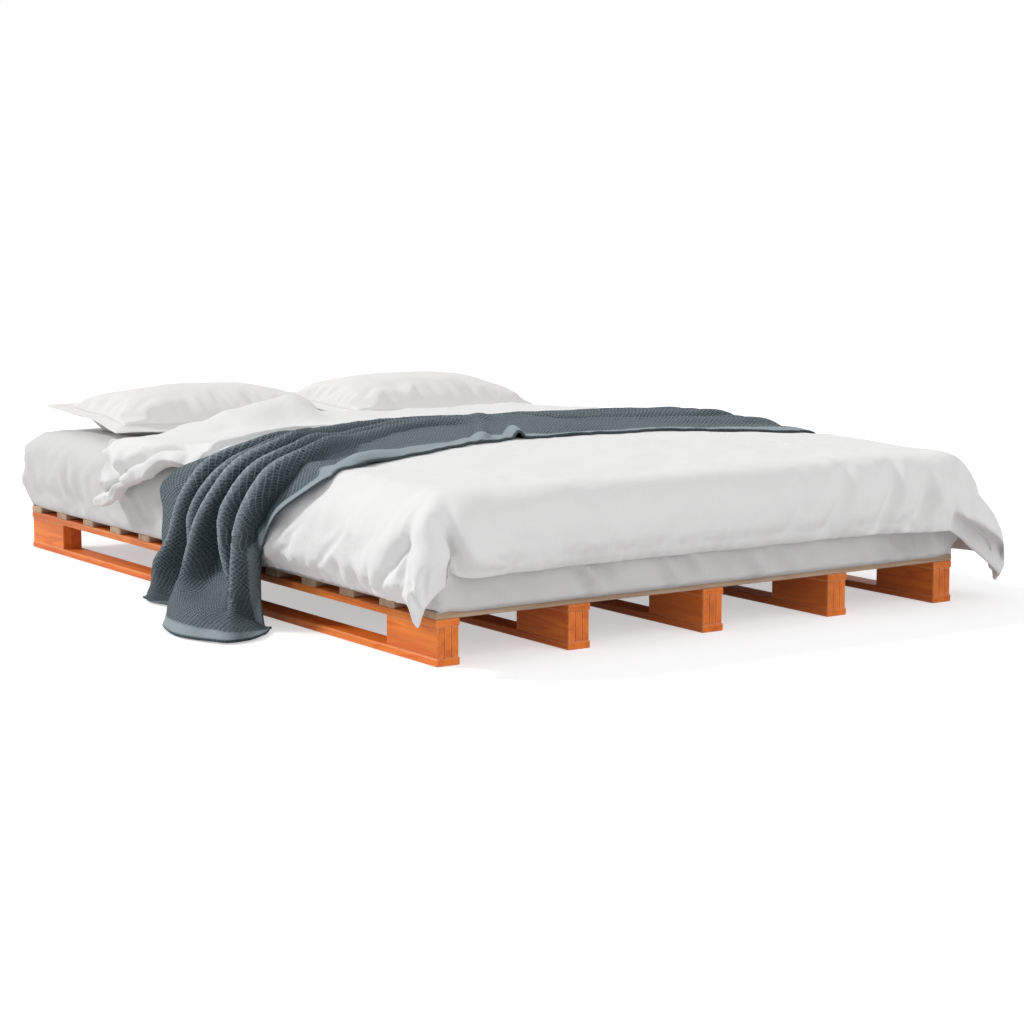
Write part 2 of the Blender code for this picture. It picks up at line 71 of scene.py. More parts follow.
# Tables of folds and creases are in millimetres
PER_METRE = 1000
TINY = 1e-9
LATTICE = 64
CREASE_FADE = 0.6


def ease(step):
    step = np.clip(step, 0.0, 1.0)
    return step * step * (3 - 2 * step)


def bell(value, middle, width):
    return np.exp(-((value - middle) / width) ** 2)


def folded_wave(phase, sharp):
    """A wave from -1 to 1 with narrow crests."""
    return 2 * ((1 + np.cos(2 * pi * phase)) / 2) ** sharp - 1


def along_shares(place, shares):
    """Values at places in a table of (place, value) pairs, eased between the pairs."""
    keys = np.array([pair[0] for pair in shares], float)
    values = np.array([pair[1] for pair in shares], float)
    place = np.clip(place, keys[0], keys[-1])
    index = np.clip(np.searchsorted(keys, place, side="right") - 1, 0, len(keys) - 2)
    step = (place - keys[index]) / (keys[index + 1] - keys[index])
    return values[index] + (values[index + 1] - values[index]) * ease(step)


def smooth_noise(u, v, cell, seed):
    """Soft random values from -1 to 1 over a plane, with features about one cell wide."""
    lattice = np.random.default_rng(seed).uniform(-1.0, 1.0, (LATTICE, LATTICE))
    x = np.asarray(u) / cell
    y = np.asarray(v) / cell
    x0, y0 = np.floor(x).astype(int), np.floor(y).astype(int)
    fx, fy = ease(x - x0), ease(y - y0)
    sides = []
    for j in (y0, y0 + 1):
        first, second = (lattice[i % LATTICE, j % LATTICE] for i in (x0, x0 + 1))
        sides.append(first + (second - first) * fx)
    return sides[0] + (sides[1] - sides[0]) * fy


def uneven(u, v, form, seed):
    """An uneven height over a plane, from a pair of its height and the size of its features."""
    height, size = form
    return height * smooth_noise(u, v, size, seed)


def patches(u, v, cell, seed, spread):
    """Soft patches from 0 to 1 over a plane, fuller where the spread is smaller."""
    return ease((smooth_noise(u, v, cell, seed) + 0.5) / spread)


def crease(u, v, start, end, width, height, bow=0):
    """A soft ridge on a plane, or a valley if its height is below zero, from start to end, in mm."""
    start, end = np.array((start, end)) / PER_METRE
    width, height, bow = np.array((width, height, bow)) / PER_METRE
    way = end - start
    length = np.hypot(*way)
    along = ((u - start[0]) * way[0] + (v - start[1]) * way[1]) / length ** 2
    across = ((v - start[1]) * way[0] - (u - start[0]) * way[1]) / length
    inside = np.clip(along, 0.0, 1.0)
    across = across - bow * np.sin(pi * inside)
    fade = np.sin(pi * inside) ** CREASE_FADE
    return height * fade * bell(across, 0, width) * ((along > 0) & (along < 1))


def grid_normals(points):
    """Outward unit normals of a grid of points whose columns run to +X and rows to +Y."""
    across = np.gradient(points, axis=0)
    along = np.gradient(points, axis=1)
    normals = np.cross(across, along)
    return normals / np.maximum(np.linalg.norm(normals, axis=2, keepdims=True), TINY)


def new_object(name, data):
    item = bpy.data.objects.new(name, data)
    bpy.context.scene.collection.objects.link(item)
    return item


def closed_sheet(name, upper, lower, flat_u, flat_v):
    """A closed piece between two grids of points, with its flat cloth places as a UV map."""
    columns, rows = upper.shape[:2]
    count = columns * rows
    points = np.concatenate((upper.reshape(-1, 3), lower.reshape(-1, 3)))
    index = np.arange(count).reshape(columns, rows)
    a, b = index[:-1, :-1].ravel(), index[1:, :-1].ravel()
    c, d = index[1:, 1:].ravel(), index[:-1, 1:].ravel()
    faces = [np.stack((a, b, c, d), 1), np.stack((a, d, c, b), 1) + count]
    rim = np.concatenate((index[:-1, 0], index[-1, :-1], index[:0:-1, -1], index[0, :0:-1]))
    after = np.roll(rim, -1)
    faces.append(np.stack((rim, rim + count, after + count, after), 1))
    faces = np.concatenate(faces)
    mesh = bpy.data.meshes.new(name)
    mesh.from_pydata(points.tolist(), [], faces.tolist())
    layer = mesh.uv_layers.new(name="cloth")
    flat = np.stack(np.meshgrid(flat_u, flat_v, indexing="ij"), 2).reshape(-1, 2)
    flat = np.concatenate((flat, flat))
    corners = np.zeros(len(mesh.loops), int)
    mesh.loops.foreach_get("vertex_index", corners)
    layer.data.foreach_set("uv", flat[corners].astype(np.float32).ravel())
    mesh.shade_smooth()
    return new_object(name, mesh)


def points_of(piece, key="co"):
    """The points of a piece, or their normals."""
    values = np.zeros(len(piece.data.vertices) * 3)
    piece.data.vertices.foreach_get(key, values)
    return values.reshape(-1, 3)


def set_points(piece, points):
    piece.data.vertices.foreach_set("co", points.astype(np.float32).ravel())
    piece.data.update()


def tree_of(piece):
    mesh = piece.data
    return BVHTree.FromPolygons([v.co for v in mesh.vertices], [p.vertices for p in mesh.polygons])


def subdivide(piece, levels):
    finer = piece.modifiers.new("finer", "SUBSURF")
    finer.levels = levels
    finer.render_levels = levels


# Material nodes

def new_material(name, inputs):
    """A material whose shader has these inputs."""
    material = bpy.data.materials.new(name)
    material.use_nodes = True
    shader = material.node_tree.nodes["Principled BSDF"]
    for key, value in inputs.items():
        shader.inputs[key].default_value = value
    return material


def add_node(tree, kind, inputs=None, **settings):
    """A node with its settings, and its inputs as values or as the sockets that feed them."""
    made = tree.nodes.new("ShaderNode" + kind)
    for key, value in settings.items():
        setattr(made, key, value)
    for key, value in (inputs or {}).items():
        if isinstance(value, bpy.types.NodeSocket):
            tree.links.new(value, made.inputs[key])
        else:
            made.inputs[key].default_value = value
    return made


def maths(tree, operation, *values):
    made = add_node(tree, "Math", dict(enumerate(values)), operation=operation)
    return made.outputs[0]


def vector_maths(tree, operation, *values):
    made = add_node(tree, "VectorMath", dict(enumerate(values)), operation=operation)
    return made.outputs["Value" if operation == "DOT_PRODUCT" else "Vector"]


def ramp(tree, value, *stops):
    """Colours along a value: stops are (place, colour) pairs."""
    made = add_node(tree, "ValToRGB", {0: value})
    elements = made.color_ramp.elements
    while len(elements) < len(stops):
        elements.new(0.5)
    for element, (place, colour) in zip(elements, stops):
        element.position = place
        element.color = (*colour, 1.0)
    return made.outputs[0]


def grey_ramp(tree, value, *stops):
    return ramp(tree, value, *[(place, (grey,) * 3) for place, grey in stops])


def mix(tree, share, first, second, blend="MIX"):
    first, second = ((*side, 1.0) if isinstance(side, tuple) else side for side in (first, second))
    made = add_node(tree, "Mix", {0: share, 6: first, 7: second}, data_type="RGBA", blend_type=blend)
    return made.outputs[2]


def noise(tree, vector, scale, detail, roughness=0.5):
    inputs = {"Vector": vector, "Scale": scale, "Detail": detail, "Roughness": roughness}
    return add_node(tree, "TexNoise", inputs).outputs["Fac"]


def bump(tree, height, distance, strength=1.0, normal=None):
    inputs = {"Height": height, "Distance": distance, "Strength": strength}
    if normal is not None:
        inputs["Normal"] = normal
    return add_node(tree, "Bump", inputs).outputs[0]


def finish_material(material, colour, roughness, normal):
    """Link the sockets to the shader. Without a roughness socket the shader keeps its own value."""
    tree = material.node_tree
    shader = tree.nodes["Principled BSDF"]
    for key, socket in (("Base Color", colour), ("Roughness", roughness), ("Normal", normal)):
        if socket is not None:
            tree.links.new(socket, shader.inputs[key])
    return material


# Wood

RUNNER_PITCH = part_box("runner_4_top_board")[1].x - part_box("runner_3_top_board")[1].x
SLAT_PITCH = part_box("slat_02")[1].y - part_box("slat_01")[1].y
BLOCK_BOARD = (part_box("runner_3_foot_block")[1].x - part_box("runner_3_foot_block")[0].x) / 3
BLOCK_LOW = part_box("runner_3_bottom_board")[1].z
BLOCK_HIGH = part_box("runner_3_top_board")[0].z
BLOCKS_PER_METRE = 1.2
RUNNER_STEP = 7.0
RING_SPACING = 0.0036
ARRIS_RADIUS = 0.002
ARRIS_HIGHLIGHT_STRENGTH = 0.9
DARKEST_BOARD = 0.86
BOARD_TONE_SPREAD = 0.22
FIBRE_ROUGHNESS = 0.22
FIBRE_RELIEF = 0.6
WOOD_RELIEF = 0.00025
SCREW_RELIEF = 0.00005

# Values along and across the grain: how far the pattern moves for each board, how far its rings
# wander, and the scales of that wandering, of the fibres and of the streaks
BOARD_SHIFT = (7.0, 0.11)
WANDER_REACH = (0.0, 0.03)
WANDER_SCALE = (1.6, 15.0)
FIBRE_SCALE = (14.0, 700.0)
STREAK_SCALE = (2.4, 40.0)

# Colours of the early and late wood, the dark streaks and the painted highlight on the arrises, and the
# finish
STAINED_PINE = {"early": (1.0, 0.275, 0.034), "late": (0.84, 0.165, 0.016), "deep": (0.70, 0.125, 0.012),
                "arris_highlight": (1.0, 0.66, 0.40), "roughness": 0.5, "coat": 0.08}
PLAIN_PINE = {"early": (0.66, 0.47, 0.33), "late": (0.5, 0.32, 0.2), "deep": (0.4, 0.26, 0.17),
              "arris_highlight": (0.7, 0.5, 0.36), "roughness": 0.62, "coat": 0.0}


def numbers_of_cell(tree, x, y, z):
    """Three random numbers for each cell of space."""
    cell = add_node(tree, "CombineXYZ", {0: x, 1: y, 2: z}).outputs[0]
    return add_node(tree, "TexWhiteNoise", {"Vector": cell}, noise_dimensions="3D").outputs["Color"]


def nearest_step(tree, value, pitch):
    """The whole number of pitches that is nearest to the value."""
    return maths(tree, "ROUND", maths(tree, "DIVIDE", value, pitch))


def board_numbers(tree, place):
    """Random numbers for each board, from the runner, level, block and strip that hold the place."""
    x, y, z = add_node(tree, "SeparateXYZ", {0: place}).outputs
    runner = nearest_step(tree, x, RUNNER_PITCH)
    strip = maths(tree, "SUBTRACT", x, maths(tree, "MULTIPLY", runner, RUNNER_PITCH))
    strip = nearest_step(tree, strip, BLOCK_BOARD)
    above = maths(tree, "GREATER_THAN", z, BLOCK_LOW)
    top = maths(tree, "GREATER_THAN", z, BLOCK_HIGH)
    in_block = maths(tree, "SUBTRACT", above, top)
    block = maths(tree, "ROUND", maths(tree, "MULTIPLY", y, BLOCKS_PER_METRE))
    strip = maths(tree, "MULTIPLY", strip, in_block)
    across = maths(tree, "MULTIPLY_ADD", runner, RUNNER_STEP, strip)
    along = maths(tree, "MULTIPLY", block, in_block)
    return numbers_of_cell(tree, across, along, maths(tree, "ADD", above, top))


def slat_numbers(tree, place):
    """Random numbers for each slat."""
    along = add_node(tree, "SeparateXYZ", {0: place}).outputs[1]
    return numbers_of_cell(tree, nearest_step(tree, along, SLAT_PITCH), 0.5, 0.5)


def edge_share(tree, radius):
    """Near 1 on the arrises and 0 on the flats."""
    soft = add_node(tree, "Bevel", {"Radius": radius}, samples=4).outputs[0]
    hard = add_node(tree, "NewGeometry").outputs["Normal"]
    same = vector_maths(tree, "DOT_PRODUCT", soft, hard)
    return grey_ramp(tree, same, (0.80, 1.0), (0.98, 0.0))


def grain_scaled(tree, vector, grain_axis, scales):
    along, across = scales
    factors = tuple(along if axis == grain_axis else across for axis in "XYZ")
    return vector_maths(tree, "MULTIPLY", vector, factors)


def centred(tree, numbers):
    return vector_maths(tree, "SUBTRACT", numbers, (0.5, 0.5, 0.5))


def wood_pattern(tree, place, numbers, grain_axis):
    """Bands of late wood round a pith of each board's own, stretched streaks and short fibres."""
    shift = grain_scaled(tree, centred(tree, numbers), grain_axis, BOARD_SHIFT)
    moved = vector_maths(tree, "ADD", place, shift)
    slow = grain_scaled(tree, moved, grain_axis, WANDER_SCALE)
    wander = add_node(tree, "TexNoise", {"Vector": slow, "Scale": 1.0, "Detail": 2.0}).outputs["Color"]
    wander = grain_scaled(tree, centred(tree, wander), grain_axis, WANDER_REACH)
    bent = vector_maths(tree, "ADD", moved, wander)
    inputs = {"Vector": bent, "Scale": pi / (10 * RING_SPACING), "Distortion": 0.0}
    wave = add_node(tree, "TexWave", inputs, wave_type="RINGS", rings_direction=grain_axis,
                    wave_profile="SAW")
    band = grey_ramp(tree, wave.outputs["Fac"], (0.0, 0.02), (0.5, 0.18), (0.86, 0.9), (1.0, 0.1))
    streaks = noise(tree, grain_scaled(tree, moved, grain_axis, STREAK_SCALE), 1.0, 3.0, 0.55)
    fibres = noise(tree, grain_scaled(tree, moved, grain_axis, FIBRE_SCALE), 1.0, 3.0, 0.6)
    return band, streaks, fibres


def wood_material(name, grain_axis, numbers_for, early, late, deep, arris_highlight, roughness, coat):
    """Sawn pine, with a tone of its own for each board and a paler colour on the arrises as a painted
    highlight.
    """
    material = new_material(name, {"Roughness": roughness, "Specular IOR Level": 0.3, "Coat Weight": coat,
                                   "Coat Roughness": 0.35})
    tree = material.node_tree
    place = add_node(tree, "TexCoord").outputs["Object"]
    numbers = numbers_for(tree, place)
    band, streaks, fibres = wood_pattern(tree, place, numbers, grain_axis)
    colour = mix(tree, band, early, late)
    colour = mix(tree, grey_ramp(tree, streaks, (0.4, 0.0), (0.68, 0.8)), colour, deep)
    colour = mix(tree, 0.4, colour, grey_ramp(tree, fibres, (0.25, 0.45), (0.7, 1.0)), "MULTIPLY")
    tone = add_node(tree, "SeparateXYZ", {0: numbers}).outputs[0]
    brightness = maths(tree, "MULTIPLY_ADD", tone, BOARD_TONE_SPREAD, DARKEST_BOARD)
    toned = add_node(tree, "HueSaturation", {"Value": brightness, "Color": colour}).outputs[0]
    # Painted highlight: the arrises are mixed towards a paler colour, as if light caught the rounded edges
    edge = maths(tree, "MULTIPLY", edge_share(tree, ARRIS_RADIUS), ARRIS_HIGHLIGHT_STRENGTH)
    toned = mix(tree, edge, toned, arris_highlight)
    rough = maths(tree, "MULTIPLY_ADD", fibres, FIBRE_ROUGHNESS, roughness - 0.1)
    relief = maths(tree, "MULTIPLY", band, 1 - FIBRE_RELIEF)
    relief = maths(tree, "MULTIPLY_ADD", fibres, FIBRE_RELIEF, relief)
    return finish_material(material, toned, rough, bump(tree, relief, WOOD_RELIEF, 0.6))


def screw_material():
    material = new_material("zinc_screw_look", {"Roughness": 0.35, "Metallic": 1.0})
    tree = material.node_tree
    blotch = noise(tree, add_node(tree, "TexCoord").outputs["Object"], 900.0, 3.0)
    colour = ramp(tree, blotch, (0.3, (0.62, 0.55, 0.36)), (0.7, (0.78, 0.74, 0.6)))
    rough = grey_ramp(tree, blotch, (0.3, 0.28), (0.7, 0.48))
    return finish_material(material, colour, rough, bump(tree, blotch, SCREW_RELIEF))


def dress(word, material):
    """Give the material to every piece of the frame whose name holds the word."""
    for name, item in nodes.items():
        if word in name:
            item.data.materials.clear()
            item.data.materials.append(material)


def dress_frame():
    dress("runner_", wood_material("stained_pine_look", "Y", board_numbers, **STAINED_PINE))
    dress("slat_", wood_material("plain_pine_look", "X", slat_numbers, **PLAIN_PINE))
    dress("_screw_", screw_material())


# Fabrics

SEAM_WIDTH = 0.0025
SEAM_TONE = -0.16
SEAM_HEIGHT = -6.0
THREAD_TONE = 0.05
CLOTH_TONE = 0.05
SLUB_ACROSS = 1.2
SLUB_ALONG = 25.0
WEAVE_RELIEF = 0.00012

# Washed cloths: colour, pitch of the threads, share of thick threads and relief of the wrinkles
SHEET_CLOTH = ((0.69, 0.685, 0.68), 0.0007, 0.3, 0.0005)
DUVET_CLOTH = ((0.835, 0.83, 0.825), 0.0011, 0.9, 0.0024)
PILLOW_CLOTH = ((0.805, 0.795, 0.785), 0.0011, 0.9, 0.0012)

# Knit colours: the painted shade in cells and folds, the yarn's own colour, and a paler colour for the plain
# border that also serves as the painted highlight on crests
KNIT_PAINTED_SHADE = (0.011, 0.022, 0.026)
KNIT_PALE = (0.236, 0.288, 0.312)
KNIT_BORDER_AND_HIGHLIGHT = (0.390, 0.450, 0.475)
KNIT_RELIEF = 0.0016
WAFFLE_ALONG = 0.0115
WAFFLE_ACROSS = 0.0150
BORDER_DEPTH = 0.18
BORDER_PALENESS = 0.5
YARN_RELIEF = 0.3
FOLD_SHADE_PATCHINESS = 0.7


def weave_height(tree, flat, pitch, slub):
    """Height of a plain weave over the flat cloth: threads cross one pitch apart, some thicker."""
    split = add_node(tree, "SeparateXYZ", {0: flat})
    turn = 2 * pi / pitch
    warp, weft = (maths(tree, "SINE", maths(tree, "MULTIPLY", split.outputs[axis], turn)) for axis in (0, 1))
    checks = maths(tree, "MULTIPLY", warp, weft)
    stretches = ((SLUB_ACROSS / pitch, SLUB_ALONG, 1.0), (SLUB_ALONG, SLUB_ACROSS / pitch, 1.0))
    thick = (noise(tree, vector_maths(tree, "MULTIPLY", flat, stretch), 1.0, 1.0) for stretch in stretches)
    threads = maths(tree, "ADD", *thick)
    return maths(tree, "MULTIPLY_ADD", threads, slub, checks), threads


def seam_line(tree, flat, halves, inset):
    """1 on a sewn line at one inset from the edges of the flat cloth, and 0 beside it."""
    split = add_node(tree, "SeparateXYZ", {0: flat})
    sides = (maths(tree, "SUBTRACT", half - inset, maths(tree, "ABSOLUTE", place))
             for half, place in zip(halves, split.outputs))
    off_line = maths(tree, "ABSOLUTE", maths(tree, "MINIMUM", *sides))
    return grey_ramp(tree, maths(tree, "DIVIDE", off_line, SEAM_WIDTH), (0.0, 1.0), (1.0, 0.0))


def linen_material(name, colour, thread_pitch, slub, wrinkle, seam=None):
    """Washed cloth: a slubby weave, soft small wrinkles, slight unevenness of tone and a sewn line."""
    material = new_material(name, {"Roughness": 0.92, "Sheen Weight": 0.12, "Sheen Roughness": 0.5})
    tree = material.node_tree
    flat = add_node(tree, "UVMap", uv_map="cloth").outputs[0]
    height, threads = weave_height(tree, flat, thread_pitch, slub)
    fine = noise(tree, flat, 34.0, 4.0, 0.55)
    broad = maths(tree, "MULTIPLY_ADD", noise(tree, flat, 5.0, 2.0), CLOTH_TONE, 1 - CLOTH_TONE / 2)
    tone = maths(tree, "MULTIPLY_ADD", threads, THREAD_TONE, 1 - THREAD_TONE)
    tone = maths(tree, "MULTIPLY", tone, broad)
    if seam is not None:
        line = seam_line(tree, flat, *seam)
        tone = maths(tree, "MULTIPLY", tone, maths(tree, "MULTIPLY_ADD", line, SEAM_TONE, 1.0))
        height = maths(tree, "MULTIPLY_ADD", line, SEAM_HEIGHT, height)
    grey = add_node(tree, "CombineColor", {0: tone, 1: tone, 2: tone}).outputs[0]
    shade = mix(tree, 1.0, colour, grey, "MULTIPLY")
    wrinkled = bump(tree, fine, wrinkle, 0.7)
    return finish_material(material, shade, None, bump(tree, height, WEAVE_RELIEF, 0.5, wrinkled))


def waffle_hollow(tree, flat, inner):
    """How deep a place lies in the slanted cells of the waffle, which fade out in the border."""
    split = add_node(tree, "SeparateXYZ", {0: flat})
    along = maths(tree, "MULTIPLY", split.outputs[0], pi / WAFFLE_ALONG)
    across = maths(tree, "MULTIPLY", split.outputs[1], pi / WAFFLE_ACROSS)
    ribs = (maths(tree, "ABSOLUTE", maths(tree, "SINE", maths(tree, way, along, across)))
            for way in ("ADD", "SUBTRACT"))
    depth = maths(tree, "MULTIPLY_ADD", inner, 1 - BORDER_DEPTH, BORDER_DEPTH)
    return maths(tree, "MULTIPLY", maths(tree, "MINIMUM", *ribs), depth)


def knit_material():
    """Waffle knit: raised ribs and a paler plain border, with painted shade in the cells' hollows and on the
    folds and a painted highlight on the crests.
    """
    material = new_material("waffle_knit_look", {
        "Roughness": 0.95, "Specular IOR Level": 0.2, "Sheen Weight": 0.1, "Sheen Roughness": 0.45,
        "Sheen Tint": (0.55, 0.68, 0.7, 1.0)})
    tree = material.node_tree
    flat = add_node(tree, "UVMap", uv_map="cloth").outputs[0]
    crest, painted_fold_light, inner = (add_node(tree, "Attribute", attribute_name=key).outputs["Fac"]
                          for key in ("crest", "painted_fold_light", "inner"))
    hollow = waffle_hollow(tree, flat, inner)
    yarn = noise(tree, flat, 900.0, 2.0, 0.6)
    patchy = noise(tree, flat, 190.0, 3.0, 0.65)
    height = maths(tree, "MULTIPLY_ADD", yarn, YARN_RELIEF, maths(tree, "SUBTRACT", 1.0, hollow))
    # Painted shade: the hollows of the waffle cells are darkened towards the shade colour, in patches
    painted_cell_shade = maths(tree, "MULTIPLY", grey_ramp(tree, hollow, (0.10, 0.0), (0.40, 0.95)),
                 grey_ramp(tree, patchy, (0.35, 1.0), (0.7, 0.35)))
    knit = mix(tree, painted_cell_shade, KNIT_PALE, KNIT_PAINTED_SHADE)
    # Painted highlight: the crests of the folds are lightened towards the paler colour, in patches
    painted_crest_highlight = maths(tree, "MULTIPLY", grey_ramp(tree, crest, (0.66, 0.0), (0.88, 1.0)),
                    grey_ramp(tree, patchy, (0.3, 0.55), (0.6, 1.0)))
    knit = mix(tree, painted_crest_highlight, knit, KNIT_BORDER_AND_HIGHLIGHT)
    border = maths(tree, "MULTIPLY_ADD", inner, -BORDER_PALENESS, BORDER_PALENESS)
    knit = mix(tree, border, knit, KNIT_BORDER_AND_HIGHLIGHT)
    # Painted shade on fold slopes and valleys, from the painted fold light with patches, mixed towards the
    # shade colour
    patchy_fold_light = maths(tree, "MULTIPLY_ADD", maths(tree, "SUBTRACT", patchy, 0.5), FOLD_SHADE_PATCHINESS, painted_fold_light)
    shade = grey_ramp(tree, patchy_fold_light, (0.08, 0.95), (0.5, 0.5), (0.92, 0.0))
    return finish_material(material, mix(tree, shade, knit, KNIT_PAINTED_SHADE), None,
                           bump(tree, height, KNIT_RELIEF))


# Cloth

CLOTH_FRAMES = 20
CLOTH_SETTINGS = {"quality": 4, "mass": 0.3, "tension_stiffness": 12.0, "compression_stiffness": 12.0,
                  "shear_stiffness": 4.0, "use_pressure": True, "vertex_group_mass": "held"}
# How far a point may move, and the simulation's pressure, growth of the cloth and bending stiffness
DUVET_PUFF = (0.007, 2.0, 0.035, 0.4)
PILLOW_PUFF = (0.010, 3.0, 0.05, 0.3)


class Puff:
    """One soft piece's simulation: which points are held, and how far a point may move."""

    def __init__(self, piece, held, reach, pressure, growth, bending):
        self.piece = piece
        self.reach = reach
        self.start = points_of(piece)
        group = piece.vertex_groups.new(name="held")
        group.add(np.flatnonzero(held).tolist(), 1.0, "REPLACE")
        self.cloth = piece.modifiers.new("puff", "CLOTH")
        settings = self.cloth.settings
        for key, value in CLOTH_SETTINGS.items():
            setattr(settings, key, value)
        settings.bending_stiffness = bending
        settings.uniform_pressure_force = pressure
        settings.shrink_min = -growth
        settings.effector_weights.gravity = 0.0
        self.cloth.collision_settings.use_collision = False
        self.cloth.collision_settings.use_self_collision = False

    def settle(self):
        """Keep the inflated shape, with no point further than its reach from its start."""
        evaluated = self.piece.evaluated_get(bpy.context.evaluated_depsgraph_get())
        moved = points_of(evaluated) - self.start
        length = np.linalg.norm(moved, axis=1, keepdims=True)
        allowed = self.reach * np.tanh(length / self.reach)
        self.drop()
        set_points(self.piece, self.start + moved * allowed / np.maximum(length, TINY))

    def drop(self):
        """End the simulation without its shape."""
        self.piece.modifiers.remove(self.cloth)
        self.piece.vertex_groups.clear()


def run_cloth(puffs):
    scene = bpy.context.scene
    for frame_number in range(1, CLOTH_FRAMES + 1):
        scene.frame_set(frame_number)
    for puff in puffs:
        puff.settle()
    scene.frame_set(1)


# Mattress in its fitted sheet

MATTRESS_CELL = 0.011
SOFTENING_ROUNDS = 6
CORNER_ROUND = 0.075
RIM_ROUND = 0.055
RIM_OVERHANG = 0.008
SQUARENESS = 8.0
# The lower rim's sag past the end of the slats: depth, start, run and the height that it reaches
RIM_SAG = 0.011
SAG_START = 0.0005
SAG_RUN = 0.003
SAG_HEIGHT = 0.04
# Pulls in the sheet: height, distance apart and sharpness of the crests
SIDE_PULLS = (0.0085, 0.082, 1.7)
END_PULLS = (0.0100, 0.075, 2.0)
SIDE_PULL_SWEEP = 0.16
END_PULL_SLANT = 0.75
# How the side pulls grow: their share in the middle of the bed, where it starts to rise and over
# what length, and the share of the side's height below which they are full
MIDDLE_PULL_SHARE = 0.3
PULL_GROWTH = (0.5, 0.25)
FULL_PULL_SHARE = 0.8
# Height of the smooth strip at the lower rim
SMOOTH_RIM = 0.012
# How unevenly the pulls run: distance and size
SIDE_PULL_DRIFT = (0.050, 0.13)
END_PULL_DRIFT = (0.02, 0.12)
# Soft lumps and fine wrinkles of the sheet: height and size
SHEET_LUMPS = (0.0035, 0.085)
SHEET_WRINKLES = (0.0026, 0.035)


def make_mattress(material):
    piece = new_object("sheeted_mattress", nodes["mattress"].data.copy())
    even = piece.modifiers.new("even", "REMESH")
    even.mode = "VOXEL"
    even.voxel_size = MATTRESS_CELL
    soften = piece.modifiers.new("soften", "SMOOTH")
    soften.iterations = SOFTENING_ROUNDS
    evaluated = piece.evaluated_get(bpy.context.evaluated_depsgraph_get())
    piece.modifiers.clear()
    piece.data = bpy.data.meshes.new_from_object(evaluated)
    piece.data.name = "sheeted_mattress"
    set_points(piece, squared(points_of(piece)))
    points = points_of(piece)
    normals = points_of(piece, "normal")
    set_points(piece, points + normals * mattress_wrinkles(points, normals)[:, None])
    piece.data.shade_smooth()
    piece.data.materials.clear()
    piece.data.materials.append(material)
    box_map(piece)
    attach(piece, "root")
    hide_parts("mattress")


def fuller(first, second):
    """How much further out a round corner reaches once it is squared, for places inside it."""
    length = np.hypot(first, second)
    spread = (first ** SQUARENESS + second ** SQUARENESS) ** (1 / SQUARENESS)
    return np.where(spread > 0, length / np.maximum(spread, TINY), 1.0)


def squared(points):
    """The foam's own shape: full upright corners, and a tight lower rim that sits on the slats."""
    x, y, z = points.T
    past_x = np.maximum(0, np.abs(x) - MATTRESS_HIGH.x + CORNER_ROUND)
    past_y = np.maximum(0, np.abs(y) - MATTRESS_HIGH.y + CORNER_ROUND)
    grow = fuller(past_x, past_y) - 1
    x = x + np.sign(x) * past_x * grow
    y = y + np.sign(y) * past_y * grow
    past_x = np.maximum(0, np.abs(x) - HALF_WIDTH + RIM_ROUND)
    past_y = np.maximum(0, np.abs(y) - HALF_LENGTH - RIM_OVERHANG + RIM_ROUND)
    out = np.maximum(past_x, past_y)
    down = np.maximum(0, MATTRESS_LOW.z + RIM_ROUND - z)
    grow = fuller(out, down) - 1
    x = x + np.sign(x) * past_x * grow
    y = y + np.sign(y) * past_y * grow
    z = z - down * grow
    past_slats = ease((np.abs(y) - HALF_LENGTH - SAG_START) / SAG_RUN)
    sag = RIM_SAG * past_slats * ease((MATTRESS_LOW.z + SAG_HEIGHT - z) / SAG_HEIGHT)
    return np.stack((x, y, z - sag), 1)


def box_map(piece):
    """A cloth map in metres: each face laid on the plane that it looks along most."""
    mesh = piece.data
    layer = mesh.uv_layers.new(name="cloth")
    points = points_of(piece)
    loops = np.zeros(len(mesh.loops), int)
    mesh.loops.foreach_get("vertex_index", loops)
    facing = np.zeros(len(mesh.polygons) * 3)
    mesh.polygons.foreach_get("normal", facing)
    facing = np.abs(facing.reshape(-1, 3))
    totals = np.zeros(len(mesh.polygons), int)
    mesh.polygons.foreach_get("loop_total", totals)
    axis = np.repeat(np.argmax(facing, axis=1), totals)
    x, y, z = points[loops].T
    u = np.where(axis == 0, y, x)
    v = np.where(axis == 2, y, z)
    layer.data.foreach_set("uv", np.stack((u, v), 1).astype(np.float32).ravel())


def pulled(pulls, place):
    height, pitch, sharpness = pulls
    return height * folded_wave(place / pitch, sharpness)


def mattress_wrinkles(points, normals):
    """Height of the sheet over the mattress: curved pulls down its sides, slant ones at its ends."""
    x, y, z = points.T
    fallen = (MATTRESS_TOP - z) / (MATTRESS_TOP - MATTRESS_LOW.z)
    side = np.abs(normals[:, 0])
    end = np.abs(normals[:, 1])
    sweep = y + SIDE_PULL_SWEEP * fallen ** 2 + uneven(y, z, SIDE_PULL_DRIFT, 3)
    start, run = PULL_GROWTH
    towards_ends = MIDDLE_PULL_SHARE + (1 - MIDDLE_PULL_SHARE) * ease((np.abs(y) - start) / run)
    strength = towards_ends * ease(fallen / FULL_PULL_SHARE) * patches(y, z, 0.10, 4, 1.1)
    raised = side * strength * pulled(SIDE_PULLS, sweep)
    slant = x + END_PULL_SLANT * z + uneven(x, z, END_PULL_DRIFT, 5)
    raised += end * patches(x, z, 0.11, 6, 0.9) * pulled(END_PULLS, slant)
    raised += uneven(x + z, y - z, SHEET_LUMPS, 8) * (1 - 0.5 * np.abs(normals[:, 2]))
    raised += uneven(x - z, y + z, SHEET_WRINKLES, 9) * (side + end)
    return raised * ease((z - MATTRESS_LOW.z) / SMOOTH_RIM)


# Duvet

